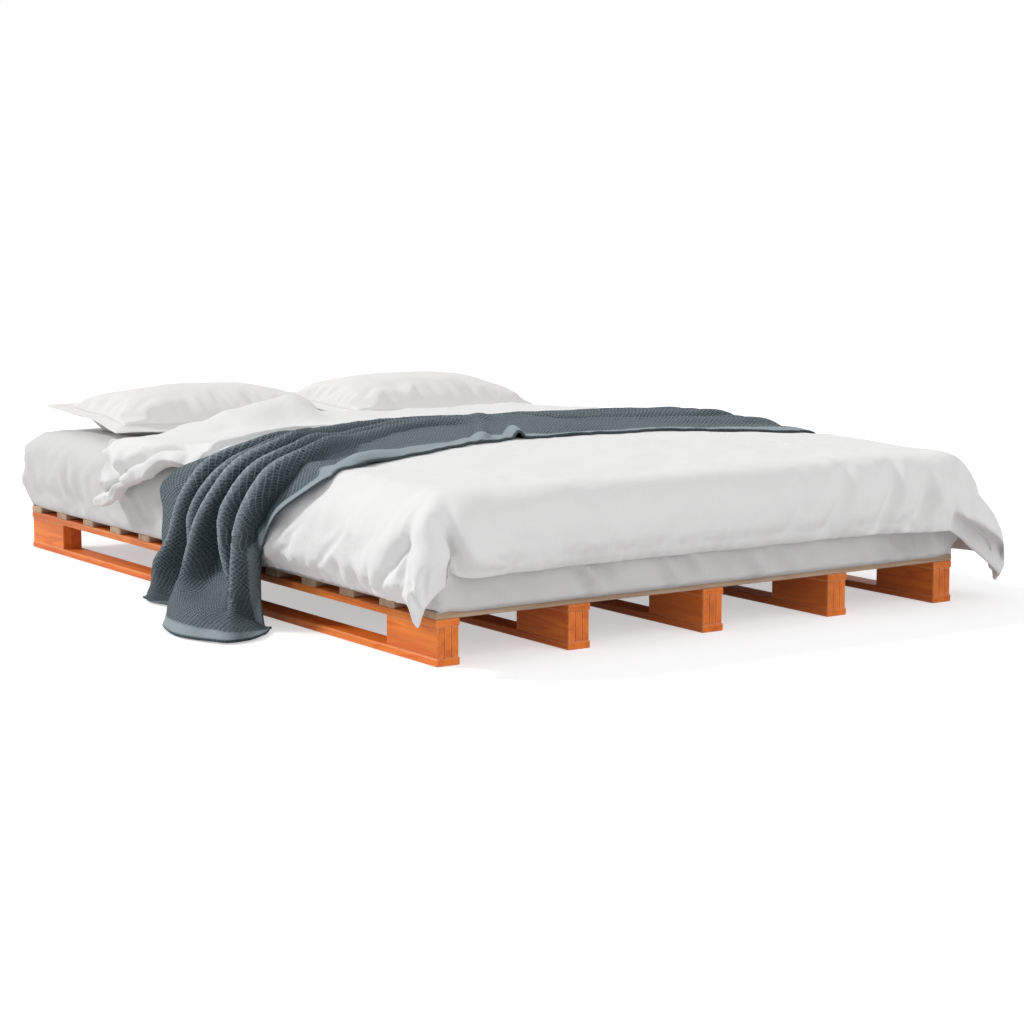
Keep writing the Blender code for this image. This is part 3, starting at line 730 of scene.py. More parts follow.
BEND_INSET = 0.030
BEND_RADIUS = 0.055
QUARTER_BEND = BEND_RADIUS * pi / 2
BEND_X = HALF_WIDTH - BEND_INSET
BEND_Y = HALF_LENGTH - BEND_INSET
BEDDING_GAP = 0.0003
BEDDING_BASE = MATTRESS_TOP + BEDDING_GAP
NEAR_DROP = 0.217
FAR_DROP = 0.240
FOOT_DROP = 0.163
# Shares of the near drop along the bed: -1 is its foot end and 1 its head end
NEAR_DROP_SHARES = ((-1.0, 1.0), (-0.36, 1.0), (-0.06, 0.2), (0.09, 0.24), (0.18, 0.38), (0.275, 0.48),
                    (0.36, 0.68), (0.46, 0.78))
DUVET_CROWN = 0.055
DUVET_EDGE = 0.034
DUVET_HANGING = 0.042
DUVET_HEM = 0.010
DUVET_HEM_TAPER = 0.055
ROLLED_HEM = 0.028
ROLLED_TAPER_SHARE = 0.4
HEM_FULLNESS = 0.65
DUVET_LEAST = 0.004
HEAD_LIFT = 0.070
HEAD_LIFT_WIDTH = 0.150
HEAD_LIFT_INSET = 0.05
# Where the near hem starts to be pulled up, and over what length
PULLED_START = -0.05
PULLED_RUN = 0.15
# Shares of the head edge's lift across the bed: -1 is the near bend and 1 the far one
HEAD_LIFT_SHARES = ((-1.0, -0.15), (-0.93, -0.1), (-0.75, 0.25), (-0.6, 0.66), (-0.48, 0.86), (-0.36, 1.06),
                    (-0.22, 0.36), (0.1, 0.28), (0.6, 0.25), (1.0, 0.0))
DUVET_CELL = 0.011
DUVET_SIDE_CELLS = 34
DUVET_TOP_CELLS = 122
DUVET_FAR_EXTRA = 4
DUVET_HELD_HEM = 0.02
# How far the hanging cloth stands off the mattress: everywhere, at each corner and where pulled up
RIPPLE_HEIGHT = 0.007
RIPPLE_PITCH = 0.170
NEAR_FLARE = 0.022
FAR_FLARE = 0.075
FLARE_REACH = 0.3
PULLED_STAND = 0.022
# The near corner's ear, as lobes and valleys: height, turn in degrees and width in degrees
EAR_LOBES = ((0.020, 42, 17), (-0.016, 12, 8), (-0.022, 72, 8))
# The groove that leaves the near hem as a roll: depth, distance from the hem and width
ROLL_GROOVE = (0.032, 0.030, 0.008)
# Small gathers at the hem: height, distance apart and how far they run in
PUCKER_HEIGHT = 0.0055
PUCKER_PITCH = 0.034
PUCKER_REACH = 0.035
# How unevenly the gathers follow each other, as a share of their pitch and a size
PUCKER_DRIFT = (0.8, 0.08)
# Lumps of the filling and wrinkles of the linen: height and size. The lumps' share on top, and how
# much it gains where the duvet hangs.
DUVET_LUMPS = ((0.0050, 0.21), (0.0028, 0.09))
SLANTED_WRINKLES = (0.0015, 0.032)
FINE_WRINKLES = (0.0010, 0.021)
TOP_LUMP_SHARE = 0.6
HANGING_LUMP_GAIN = 0.8
# The near corner's tip: how far it moves, over which turns, and how far in it is felt
TIP_SHIFT = 0.009
TIP_LIFT = 0.018
TIP_TURN = (40, 24)
TIP_REACH = 0.26
# The far corner's flap: where it starts, the line of its hem, its fold and how far it is tucked in
FAR_STEP = 0.628
FLAP_LOW = 0.1455
FLAP_SLOPE = 0.72
FLAP_TURN = (24, 12)
FLAP_FOLD = 0.216
FLAP_FOLD_SLOPE = 0.5
FLAP_FOLD_SOFTNESS = 0.022
FLAP_TUCK = np.array((0.062, 0.050))
# The pocket in the near end of the foot hem: place, width, and how far it goes in and up
POCKET_PLACE = -0.692
POCKET_WIDTH = 0.018
POCKET_MOVE = (0.035, 0.012)
# The notch in the near hem's head end: how far it cuts in, its place below the bend and its width,
# and how much shorter the hem is below it
HEAD_NOTCH = 0.090
NOTCH_FALL = 0.080
NOTCH_HALF = 0.032
HEM_SHORTER = 0.040
# Length of the hem that goes round a corner, for each radian of turn
HEM_TURN = 0.150

# Creases and pulls in the duvet: start and end as flat places, width, height and bow, in mm
DUVET_CREASES = (
    ((-745, -985), (-874, -900), 14, -20, 4),
    ((-815, -880), (-878, -842), 10, -12, 0),
    ((-800, -945), (-874, -940), 12, 9, 0),
    ((-820, -800), (-878, -775), 11, -9, 0),
    ((-830, -735), (-878, -715), 10, -8, 0),
    ((-712, -1010), (-655, -1140), 11, -40, -6),
    ((-690, -1060), (-738, -1140), 9, -30, 0),
    ((485, -1000), (405, -1128), 16, -22, 4),
    ((515, -1000), (440, -1125), 14, 13, 4),
    ((575, -1020), (498, -1128), 14, -25, 3),
    ((605, -1020), (530, -1120), 13, 11, 3),
    ((352, -990), (255, -1125), 17, -19, 4),
    ((225, -1010), (140, -1120), 18, -14, 3),
    ((-100, -1020), (-190, -1115), 20, -8, 3),
    ((624, -1070), (626, -1175), 9, -34, 0),
    ((700, -1000), (650, -1090), 16, -18, 4),
    ((720, -1115), (830, -1128), 10, 8, 0),
    ((-725, 415), (-775, 270), 10, -36, 4),
    ((-760, 430), (-790, 330), 10, 8, 0),
    ((-700, 430), (-715, 340), 14, 8, 0),
    ((-800, -1020), (-845, -1120), 12, -16, 4),
    ((-760, -1070), (-825, -1128), 10, -18, -4),
    ((-790, -1050), (-840, -1130), 8, 7, 0),
    ((-735, 150), (-790, 105), 12, 8, 0),
    ((-700, 20), (-742, 45), 12, -9, 0),
    ((-780, 75), (-300, 160), 20, -6, 4),
    ((-400, 400), (-560, 250), 30, -5, 10),
    ((-250, 420), (-430, 180), 40, -5, 20),
    ((50, 420), (-60, 200), 35, -4, 10),
)
# The rolled ridge that overhangs the throw's head edge, and how far it leans over for its height
LIP_RIDGE = ((-750, -30), (-280, 125), 18, 22, 14)
LIP_LEAN = 2.0


def past_bend(distance):
    """Run, fall and slope of a sheet that has gone a distance past the start of its bend."""
    slope = np.clip(distance / BEND_RADIUS, 0, pi / 2)
    run = BEND_RADIUS * np.sin(slope)
    fall = BEND_RADIUS * (1 - np.cos(slope)) + np.maximum(0, distance - QUARTER_BEND)
    return run, fall, slope


class Places:
    """Flat places in the duvet, and how they lie to its bends, its hem and the bed's corners."""

    def __init__(self, across, along):
        self.across = across
        self.along = along
        past_side = np.maximum(0, np.abs(across) - BEND_X)
        past_foot = np.maximum(0, -along - BEND_Y)
        self.past = np.maximum(past_side, past_foot)
        self.distance = np.hypot(past_side, past_foot)
        self.heading = np.arctan2(past_foot, past_side)
        self.turn = np.degrees(self.heading)
        near, far = duvet_drops(along)
        to_side = BEND_X + np.where(across < 0, near, far) - np.abs(across)
        to_foot = along + BEND_Y + FOOT_DROP
        self.to_hem = np.minimum(np.minimum(to_side, to_foot), DUVET_HEAD_EDGE - along)
        # Near 1 where the near hem is pulled up towards the head
        self.pulled_up = ease((along - PULLED_START) / PULLED_RUN) * ease((-across - BEND_X) / 0.03)
        # Distance round the bed from the middle of its foot
        corner = HEM_TURN * (pi / 2 - self.heading) * (np.abs(across) > BEND_X)
        run = np.minimum(np.abs(across), BEND_X) + corner + np.maximum(0, along + BEND_Y)
        self.around = np.where(across > 0, run, -run)


def across_of(column, near, far):
    """Flat places of the columns: -2 is the near hem, -1 and 1 are the bends and 2 is the far hem."""
    far_side = np.where(column > 1, BEND_X + (column - 1) * far, column * BEND_X)
    return np.where(column < -1, -BEND_X + (column + 1) * near, far_side)


def drape(at):
    """Points and normals where flat places lie when laid over the mattress."""
    run, fall, slope = past_bend(at.distance)
    side = np.where(at.across > 0, 1.0, -1.0)
    out_x = side * np.cos(at.heading)
    out_y = -np.sin(at.heading)
    x = np.minimum(np.abs(at.across), BEND_X) * side + run * out_x
    y = np.maximum(at.along, -BEND_Y) + run * out_y
    points = np.stack((x, y, BEDDING_BASE - fall), -1)
    normals = np.stack((np.sin(slope) * out_x, np.sin(slope) * out_y, np.cos(slope)), -1)
    return points, normals


def duvet_drops(along):
    near = NEAR_DROP * along_shares(along / HALF_LENGTH, NEAR_DROP_SHARES)
    return near, np.full_like(near, FAR_DROP)


def duvet_thickness(at):
    middle = (DUVET_HEAD_EDGE - BEND_Y) / 2
    half = (DUVET_HEAD_EDGE + BEND_Y) / 2
    across_crown = np.maximum(0, 1 - (at.across / BEND_X) ** 2)
    crown = across_crown * np.maximum(0, 1 - ((at.along - middle) / half) ** 2)
    full = DUVET_EDGE + (DUVET_CROWN - DUVET_EDGE) * ease(crown)
    full = full + (DUVET_HANGING - DUVET_EDGE) * ease(at.past / QUARTER_BEND)
    lift = ease(1 - np.abs(DUVET_HEAD_EDGE - HEAD_LIFT_INSET - at.along) / HEAD_LIFT_WIDTH)
    full = full + HEAD_LIFT * along_shares(at.across / BEND_X, HEAD_LIFT_SHARES) * lift
    hem = DUVET_HEM + (ROLLED_HEM - DUVET_HEM) * at.pulled_up
    taper = DUVET_HEM_TAPER * (1 - (1 - ROLLED_TAPER_SHARE) * at.pulled_up)
    return hem + (full - hem) * ease(at.to_hem / taper) ** HEM_FULLNESS


def duvet_flare(at):
    """How far the hanging cloth stands off the mattress."""
    hanging = ease((at.distance - QUARTER_BEND / 2) / FOOT_DROP)
    ripple = RIPPLE_HEIGHT * (1 + np.sin(2 * pi * at.around / RIPPLE_PITCH)) / 2
    flare = np.where(at.across > 0, FAR_FLARE, NEAR_FLARE)
    from_corner = np.hypot(np.maximum(0, at.along + BEND_Y), np.maximum(0, BEND_X - np.abs(at.across)))
    stand = hanging * (ripple + flare * ease(1 - from_corner / FLARE_REACH))
    return stand + PULLED_STAND * at.pulled_up * ease(at.distance / 0.06)


def corner_lobes(at):
    """The near corner's ear: a full lobe between two valleys, as a height over the cloth."""
    inside = (at.across < -BEND_X + 0.06) & (at.along < -BEND_Y + 0.10)
    lobes = sum(height * bell(at.turn, middle, width) for height, middle, width in EAR_LOBES)
    return np.where(inside, lobes * ease(at.distance / 0.12), 0.0)


def rolled_edge(at):
    """A groove beside the near hem's head end, which leaves the hem as a roll."""
    depth, inset, width = ROLL_GROOVE
    return -depth * bell(at.to_hem, inset, width) * at.pulled_up


def hem_puckers(at):
    """Small gathers that run in from the hem of the hanging cloth."""
    near_hem = np.exp(-np.maximum(at.to_hem, 0) / PUCKER_REACH) * ease(at.past / 0.08)
    drift = uneven(at.around, at.to_hem, PUCKER_DRIFT, 13)
    wave = folded_wave(at.around / PUCKER_PITCH + drift, 1.5)
    wave = wave * patches(at.around, at.around * 0, 0.10, 14, 0.8)
    return PUCKER_HEIGHT * near_hem * wave * (1 - 0.75 * at.pulled_up)


def soft_lumps(at):
    """Filling that lies unevenly, and fine wrinkles of washed linen."""
    u, v = at.across, at.along
    lumps = sum(uneven(u, v, form, seed) for seed, form in enumerate(DUVET_LUMPS, 15))
    slanted = uneven(u * 0.6 + v, (u - v) * 0.35, SLANTED_WRINKLES, 17)
    fine = slanted + uneven(u, v, FINE_WRINKLES, 18)
    return lumps * (TOP_LUMP_SHARE + HANGING_LUMP_GAIN * ease(at.past / 0.06)) + fine


def lift_tip(at, points):
    """The near corner's tip, drawn to the side and up."""
    felt = ease(at.distance / TIP_REACH) * (at.across < 0) * (at.along < 0) * bell(at.turn, *TIP_TURN)
    points[..., 0] -= TIP_SHIFT * felt
    points[..., 2] += TIP_LIFT * felt


def drop_flap(at, points):
    """The far corner's hem, which hangs lower than the rest."""
    to_foot = FOOT_DROP / np.maximum(np.sin(at.heading), 0.1)
    hem_distance = np.minimum(to_foot, FAR_DROP / np.maximum(np.cos(at.heading), 0.1))
    hem_height = BEDDING_BASE - BEND_RADIUS + QUARTER_BEND - hem_distance
    wanted = FLAP_LOW - FLAP_SLOPE * (points[..., 0] - FAR_STEP)
    far = (at.across > 0) & (at.along < -BEND_Y)
    start, reach = FLAP_TURN
    in_flap = far * ease((at.turn - start) / reach) * ease((at.across - FAR_STEP) / 0.012)
    fall = np.maximum(0, hem_height - wanted) * in_flap
    points[..., 2] -= fall * np.clip(at.distance / hem_distance, 0, 1) ** 3


def open_pocket(at, points):
    """The pocket in the foot hem beside the near corner."""
    pocket = bell(at.across, POCKET_PLACE, POCKET_WIDTH) * ease((-at.along - BEND_Y - 0.10) / 0.06)
    points[..., 1:] += pocket[..., None] * POCKET_MOVE


def tuck_flap(at, points):
    """The far corner's flap, folded back under the bed's corner along a slanted line."""
    under_fold = FLAP_FOLD - FLAP_FOLD_SLOPE * (at.across - FAR_STEP) - points[..., 2]
    at_foot = ease((at.across - FAR_STEP) / 0.01) * ease((-at.along - BEND_Y + 0.16) / 0.10)
    flap = ease(under_fold / FLAP_FOLD_SOFTNESS) * at_foot
    points[..., :2] += flap[..., None] * FLAP_TUCK


def make_duvet(material):
    near_columns = np.linspace(-2, -1, DUVET_SIDE_CELLS)[:-1]
    far_columns = np.linspace(1, 2, DUVET_SIDE_CELLS + DUVET_FAR_EXTRA)[1:]
    column = np.concatenate((near_columns, np.linspace(-1, 1, DUVET_TOP_CELLS), far_columns))
    along = np.concatenate((np.arange(-BEND_Y - FOOT_DROP, -BEND_Y, DUVET_CELL * 0.7),
                            np.arange(-BEND_Y, DUVET_HEAD_EDGE - 0.5 * DUVET_CELL, DUVET_CELL),
                            [DUVET_HEAD_EDGE]))
    grid_column, grid_along = np.meshgrid(column, along, indexing="ij")
    across = across_of(grid_column, *duvet_drops(grid_along))
    hung = -across - BEND_X - NOTCH_FALL
    notch = HEAD_NOTCH * bell(hung, 0, NOTCH_HALF) + HEM_SHORTER * ease(hung / 0.03)
    at = Places(across, grid_along - notch * ease((grid_along - DUVET_HEAD_EDGE + 0.2) / 0.2))
    points, normals = drape(at)
    lower = points + normals * duvet_flare(at)[..., None]
    upper = lower + normals * duvet_thickness(at)[..., None]
    piece = closed_sheet("quilted_duvet", upper, lower, across_of(column, NEAR_DROP, FAR_DROP), along)
    piece.data.materials.append(material)
    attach(piece, "root")
    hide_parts("duvet")
    held = np.concatenate((at.to_hem.ravel() < DUVET_HELD_HEM, np.ones(across.size, bool)))
    return piece, Puff(piece, held, *DUVET_PUFF), at


def crease_duvet(piece, at):
    """Creases, lobes, puckers and lumps on top of the inflated shape."""
    normals = drape(at)[1]
    raised = corner_lobes(at) + hem_puckers(at) + rolled_edge(at)
    for values in DUVET_CREASES:
        raised = raised + crease(at.across, at.along, *values)
    both = np.exp(-np.maximum(at.to_hem, 0) / 0.03)
    upper, lower = points_of(piece).reshape((2,) + at.across.shape + (3,))
    lip = crease(at.across, at.along, *LIP_RIDGE)
    upper = upper + normals * (raised + lip + soft_lumps(at))[..., None]
    upper[..., 1] -= LIP_LEAN * lip
    lower = lower + normals * (raised * both)[..., None]
    gap = ((upper - lower) * normals).sum(-1)
    upper = upper + normals * np.maximum(0, DUVET_LEAST - gap)[..., None]
    for points in (upper, lower):
        for move in (lift_tip, drop_flap, open_pocket, tuck_flap):
            move(at, points)
    set_points(piece, np.concatenate((upper.reshape(-1, 3), lower.reshape(-1, 3))))


# Pillows

PILLOW_CELL = 0.0075
PILLOW_FLANGE = 0.032
PILLOW_FLANGE_THICKNESS = 0.005
PILLOW_SEAM_HEIGHT = 0.045
PILLOW_SEAM_RISE = 0.018
PILLOW_CORNER_LIFT = 0.012
PILLOW_CORNER_REACH = 0.030
PILLOW_DRAW_IN = 0.016
PILLOW_DROOP = 0.006
PILLOW_WAVE = (0.004, 0.09)
# Share of the CAD height that the cushion reaches before it is inflated, and how full its sides are
PILLOW_TOP_SHARE = 0.91
PILLOW_FULLNESS = 0.42
# How fast the base drops to the sheet behind the seam: at the head side, and less at the foot side
PILLOW_BASE = 3.2
PILLOW_BASE_FOOTWARD = 1.7
# Lumps of the filling as height and size, and a dimple as depth, place and half widths
PILLOW_LUMPS = ((0.004, 0.16), (0.0025, 0.06))
PILLOW_DIMPLE = (0.009, (-0.10, -0.12), (0.05, 0.035))
# Pulls from the corners: where they start and end towards a corner, width and height, in mm
PULL_START = (285, 200)
PULL_END = (170, 100)
PULL_FORM = (14, -6)


def half_sizes(low, high):
    return (high.x - low.x) / 2, (high.y - low.y) / 2


def pillow_grids(low, high, u, v, seed, corner_reach):
    """The upper and lower points of a cushion in a flat flange, and how far inside it they lie."""
    centre = (low + high) / 2
    half_x, half_y = half_sizes(low, high)
    core_u = u / (1 - PILLOW_FLANGE / half_x)
    core_v = v / (1 - PILLOW_FLANGE / half_y)
    inside = np.maximum(0, 1 - core_u ** 2) * np.maximum(0, 1 - core_v ** 2)
    near_foot_corner = ease(-u) * ease(-v)
    x = centre.x + u * (half_x - PILLOW_DRAW_IN * (1 - v ** 2)) - corner_reach * near_foot_corner
    y = centre.y + v * (half_y - PILLOW_DRAW_IN * (1 - u ** 2))
    past_core = np.maximum(np.abs(core_u), np.abs(core_v)) - 1
    droop = PILLOW_DROOP * ease(past_core / (PILLOW_FLANGE / half_y)) * ease(0.4 - v)
    seam = PILLOW_SEAM_HEIGHT + PILLOW_SEAM_RISE * v + PILLOW_CORNER_LIFT * near_foot_corner - droop
    wave = uneven(u * half_x, v * half_y, PILLOW_WAVE, seed) * (inside <= 0)
    half_flange = PILLOW_FLANGE_THICKNESS / 2
    cushion = PILLOW_TOP_SHARE * (high.z - low.z) - seam - half_flange
    top = seam + wave + half_flange + cushion * inside ** PILLOW_FULLNESS
    steepness = PILLOW_BASE - PILLOW_BASE_FOOTWARD * ease(0.3 - v)
    base = (seam + wave - half_flange) * (1 - ease(steepness * inside))
    upper = np.stack((x, y, low.z + top), -1)
    lower = np.stack((x, y, low.z + base), -1)
    return upper, lower, inside


def make_pillow(name, node, seed, corner_reach, material):
    """A flanged pillow with its simulation, and the lumps that it gets after that."""
    low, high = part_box(node)
    half_x, half_y = half_sizes(low, high)
    across = np.linspace(-1, 1, int(2 * half_x / PILLOW_CELL))
    along = np.linspace(-1, 1, int(2 * half_y / PILLOW_CELL))
    u, v = np.meshgrid(across, along, indexing="ij")
    upper, lower, inside = pillow_grids(low, high, u, v, seed, corner_reach)
    piece = closed_sheet(name, upper, lower, across * half_x, along * half_y)
    piece.data.materials.append(material)
    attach(piece, "root")
    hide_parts(node)
    held = np.concatenate((inside.ravel() <= 0, np.ones(u.size, bool)))
    lumps = pillow_lumps(u * half_x, v * half_y, seed) * ease(inside * 4)
    return piece, Puff(piece, held, *PILLOW_PUFF), lumps


def pillow_lumps(u, v, seed):
    lumps = sum(uneven(u, v, form, seed + step) for step, form in enumerate(PILLOW_LUMPS, 1))
    depth, (place_u, place_v), (half_u, half_v) = PILLOW_DIMPLE
    lumps = lumps - depth * bell(u, place_u, half_u) * bell(v, place_v, half_v)
    for side_u in (-1, 1):
        for side_v in (-1, 1):
            start = (side_u * PULL_START[0], side_v * PULL_START[1])
            end = (side_u * PULL_END[0], side_v * PULL_END[1])
            lumps = lumps + crease(u, v, start, end, *PULL_FORM)
    return lumps


def lump_pillow(piece, lumps):
    points = points_of(piece)
    points[:lumps.size, 2] += lumps.ravel()
    set_points(piece, points)


# Throw

# Places across the throw run from its foot edge to its head edge: the edge, the band's inner side,
# both sides of the wide valley, then crests and valleys by turns up to the flat layer at the head.
# Each station along it has its base line (x, z), the way its folds stand out as an angle from
# straight up towards the near side, and for each place its y and how far it stands out, in mm.
THROW_STATIONS = (
    ("far hem", 800, 165, -90,
     (-540, -500, -450, -400, -350, -320, -290, -260, -230, -200, -160, -120, -80, -40, 0, 50, 95),
     (0, 3, 0, 4, 10, 1, 8, 1, 1, 12, 2, 10, 1, 8, 1, 3, 0)),
    ("far bend end", 795, 275, -90,
     (-500, -480, -440, -390, -350, -320, -290, -260, -230, -200, -160, -120, -80, -40, 0, 50, 95),
     (0, 4, 1, 4, 14, 2, 12, 2, 2, 18, 3, 15, 2, 12, 2, 4, 0)),
    ("far bend", 710, 340, -30,
     (-515, -485, -440, -385, -340, -305, -270, -235, -205, -170, -130, -90, -50, -10, 30, 70, 105),
     (0, 6, 2, 4, 20, 6, 18, 5, 5, 28, 6, 24, 5, 22, 4, 4, 0)),
    ("far top", 560, 356, 0,
     (-495, -465, -425, -370, -320, -285, -250, -215, -190, -150, -110, -75, -40, 0, 40, 85, 120),
     (0, 8, 3, 4, 18, 8, 16, 6, 6, 24, 8, 22, 6, 20, 4, 4, 0)),
    ("far half", 300, 362, 0,
     (-446, -415, -370, -310, -260, -225, -190, -160, -135, -105, -75, -50, -20, 15, 45, 75, 105),
     (0, 6, 3, 4, 14, 8, 14, 6, 6, 20, 8, 20, 6, 18, 4, 4, 0)),
    ("middle of the bed", 205, 365, 0,
     (-444, -405, -360, -300, -240, -205, -170, -140, -115, -90, -65, -40, -15, 15, 40, 70, 100),
     (0, 10, 4, 4, 14, 8, 14, 6, 6, 20, 8, 20, 6, 18, 4, 4, 0)),
    ("twist", 70, 366, 0,
     (-436, -390, -320, -220, -140, -100, -70, -45, -25, 0, 20, 35, 50, 65, 78, 90, 104),
     (0, 16, 26, 26, 26, 8, 22, 8, 6, 18, 6, 14, 4, 10, 3, 3, 0)),
    ("middle top", -100, 365, 0,
     (-444, -405, -290, -140, -85, -55, -20, 4, 16, 36, 52, 66, 76, 88, 98, 106, 116),
     (0, 8, 3, 2, 26, 4, 22, 4, 4, 20, 4, 14, 4, 10, 3, 3, 0)),
    ("near top", -450, 361, 0,
     (-527, -485, -400, -310, -262, -225, -190, -165, -150, -120, -92, -70, -50, -30, -12, 2, 18),
     (0, 10, 0, 0, 26, 2, 22, 2, 2, 28, 2, 20, 2, 16, 3, 3, 0)),
    ("near bend start", -665, 346, 12,
     (-595, -562, -520, -455, -425, -395, -365, -345, -325, -300, -270, -240, -212, -186, -155, -118, -78),
     (4, 12, 0, 0, 38, 2, 40, 2, 0, 44, 2, 32, 0, 32, 2, 4, 0)),
    ("near bend middle", -742, 315, 50,
     (-622, -585, -540, -478, -456, -425, -392, -368, -343, -319, -290, -260, -225, -186, -150, -90, -20),
     (16, 12, -2, -2, 52, 0, 54, 2, -2, 56, 0, 44, 0, 48, 2, 3, 1)),
    ("near bend end", -766, 255, 88,
     (-512, -485, -465, -440, -422, -380, -338, -312, -278, -256, -215, -182, -150, -124, -85, -10, 75),
     (20, 12, 0, -2, 60, 0, 60, 2, -3, 62, 2, 48, 0, 54, 2, 3, 2)),
    ("upper fall", -768, 210, 90,
     (-466, -444, -430, -418, -400, -366, -327, -298, -245, -220, -188, -152, -132, -100, -66, 0, 60),
     (18, 10, 2, 0, 62, -2, 62, 2, -3, 66, 2, 46, 0, 58, 2, 3, 2)),
    ("middle of fall", -768, 160, 90,
     (-416, -412, -410, -406, -390, -362, -332, -300, -222, -196, -168, -150, -120, -74, -42, 10, 66),
     (4, 10, 18, 34, 62, 4, 60, 0, -3, 70, 10, 44, 0, 60, 2, 3, 1)),
    ("low fall", -774, 85, 84,
     (-412, -410, -407, -403, -394, -384, -370, -335, -240, -180, -135, -118, -85, -6, 20, 38, 66),
     (2, 14, 28, 46, 64, 40, 52, 34, 26, 74, 20, 10, 0, 56, 4, 2, 1)),
    ("floor bend", -800, 26, 52,
     (-445, -425, -414, -406, -402, -390, -376, -335, -250, -168, -110, -92, -58, 14, 36, 50, 66),
     (-20, -4, 12, 30, 56, 40, 46, 44, 44, 66, 18, 10, 0, 34, 6, 3, 0)),
    ("floor turn", -800, 10, 72,
     (-448, -450, -446, -440, -436, -420, -402, -362, -280, -204, -126, -102, -70, 20, 34, 48, 64),
     (-30, 2, 26, 46, 68, 72, 80, 94, 100, 88, 46, 26, 10, 34, 10, 8, 6)),
)
# Where the near hem lies on the floor: x and y for each place across the throw, and its height, in mm
THROW_HEM = (
    (-771, -820, -872, -906, -930, -948, -962, -978, -968, -912, -866, -842, -828, -832, -830, -828, -828),
    (-450, -510, -549, -556, -552, -522, -487, -430, -345, -232, -156, -116, -80, 20, 36, 50, 62),
)
THROW_HEM_HEIGHT = 4
# The place across the throw whose line gives its length
THROW_MIDDLE = 8
THROW_THICKNESS = 0.005
THROW_CELL = 0.0052
THROW_COLUMNS = 180
THROW_LIFT = 0.002
THROW_SEARCH = 0.06
THROW_FLOOR_GAP = 0.0035
# The least height over the floor of the under and the upper side
THROW_LEAST = (0.001, 0.004)
THROW_TOP = 0.33
# Width of the plain border, the share of it that is wholly plain, and how much wider it is on top
THROW_BORDER = 0.042
PLAIN_SHARE = 0.8
TOP_BAND_SHARE = 0.55
# A painted shadow along the throw's very edge: the share of light left at the edge, and its width
RIM_SHADE = 0.2
RIM_SHADE_WIDTH = 0.008
# Small ruffles of the knit: height and size
RUFFLES = ((0.0012, 0.060), (0.0007, 0.022))
# A twist across the throw and a small arch in its foot edge: start, end, width and height, in mm
THROW_RIDGES = (
    ((0, -90), (-290, -540), 22, 18),
    ((-150, -530), (-90, -330), 18, 26),
)
# Painted shade of the throw's folds: the width it is judged over, in columns, how far a crest stands out,
# the unevenness that counts as folded, and how much of that shade falls on every side of a fold
CREST_COLUMNS = 13
CREST_REACH = 0.042
FOLD_SPREAD = 0.008
FOLD_START = 0.3
EVEN_SHADE = 0.75


def knot_cubic(values, knots, places):
    """Smooth interpolation of rows of values that stand at knots of uneven spacing."""
    values = np.asarray(values, float)
    spread = (-1,) + (1,) * (values.ndim - 1)
    gaps = np.diff(knots)
    ways = np.diff(values, axis=0) / gaps.reshape(spread)
    slopes = np.empty_like(values)
    slopes[0], slopes[-1] = ways[0], ways[-1]
    before, after = gaps[:-1].reshape(spread), gaps[1:].reshape(spread)
    slopes[1:-1] = (ways[:-1] * after + ways[1:] * before) / (before + after)
    index = np.clip(np.searchsorted(knots, places, side="right") - 1, 0, len(knots) - 2)
    gap = gaps[index].reshape(spread)
    t = ((places - knots[index]) / gaps[index]).reshape(spread)
    t2, t3 = t ** 2, t ** 3
    return ((2 * t3 - 3 * t2 + 1) * values[index] + (t3 - 2 * t2 + t) * gap * slopes[index]
            + (3 * t2 - 2 * t3) * values[index + 1] + (t3 - t2) * gap * slopes[index + 1])


def lengths_along(points):
    steps = np.linalg.norm(np.diff(points, axis=0), axis=-1)
    return np.concatenate(([0.0], np.cumsum(steps)))


def throw_net():
    """Control points, a row for each station, with how far each stands out as a fourth number."""
    rows = []
    for _, x, z, angle, ys, outs in THROW_STATIONS:
        turn = radians(angle)
        out = np.array(outs) / PER_METRE
        along = np.array(ys) / PER_METRE
        out_x = x / PER_METRE - out * np.sin(turn)
        out_z = z / PER_METRE + out * np.cos(turn)
        rows.append(np.stack((out_x, along, out_z, out), 1))
    hem_x, hem_y = np.array(THROW_HEM) / PER_METRE
    hem_z = np.full(hem_x.size, THROW_HEM_HEIGHT / PER_METRE)
    rows.append(np.stack((hem_x, hem_y, hem_z, rows[-1][:, 3]), 1))
    return np.array(rows)


def throw_grid():
    """Rows along the throw from near hem to far hem, columns even across it, its length and width."""
    net = throw_net()
    knots = lengths_along(net[:, THROW_MIDDLE, :3])
    count = int(knots[-1] / THROW_CELL)
    long_net = knot_cubic(net, knots, np.linspace(0, knots[-1], count))
    grid = np.empty((count, THROW_COLUMNS, 4))
    widths = np.empty(count)
    for row, line in enumerate(long_net):
        marks = lengths_along(line[:, :3])
        fine = knot_cubic(line, marks, np.linspace(0, marks[-1], 4 * THROW_COLUMNS))
        along = lengths_along(fine[:, :3])
        widths[row] = along[-1]
        even = np.linspace(0, along[-1], THROW_COLUMNS)
        grid[row] = np.stack([np.interp(even, along, fine[:, k]) for k in range(4)], 1)
    return grid[::-1], knots[-1], float(widths.mean())


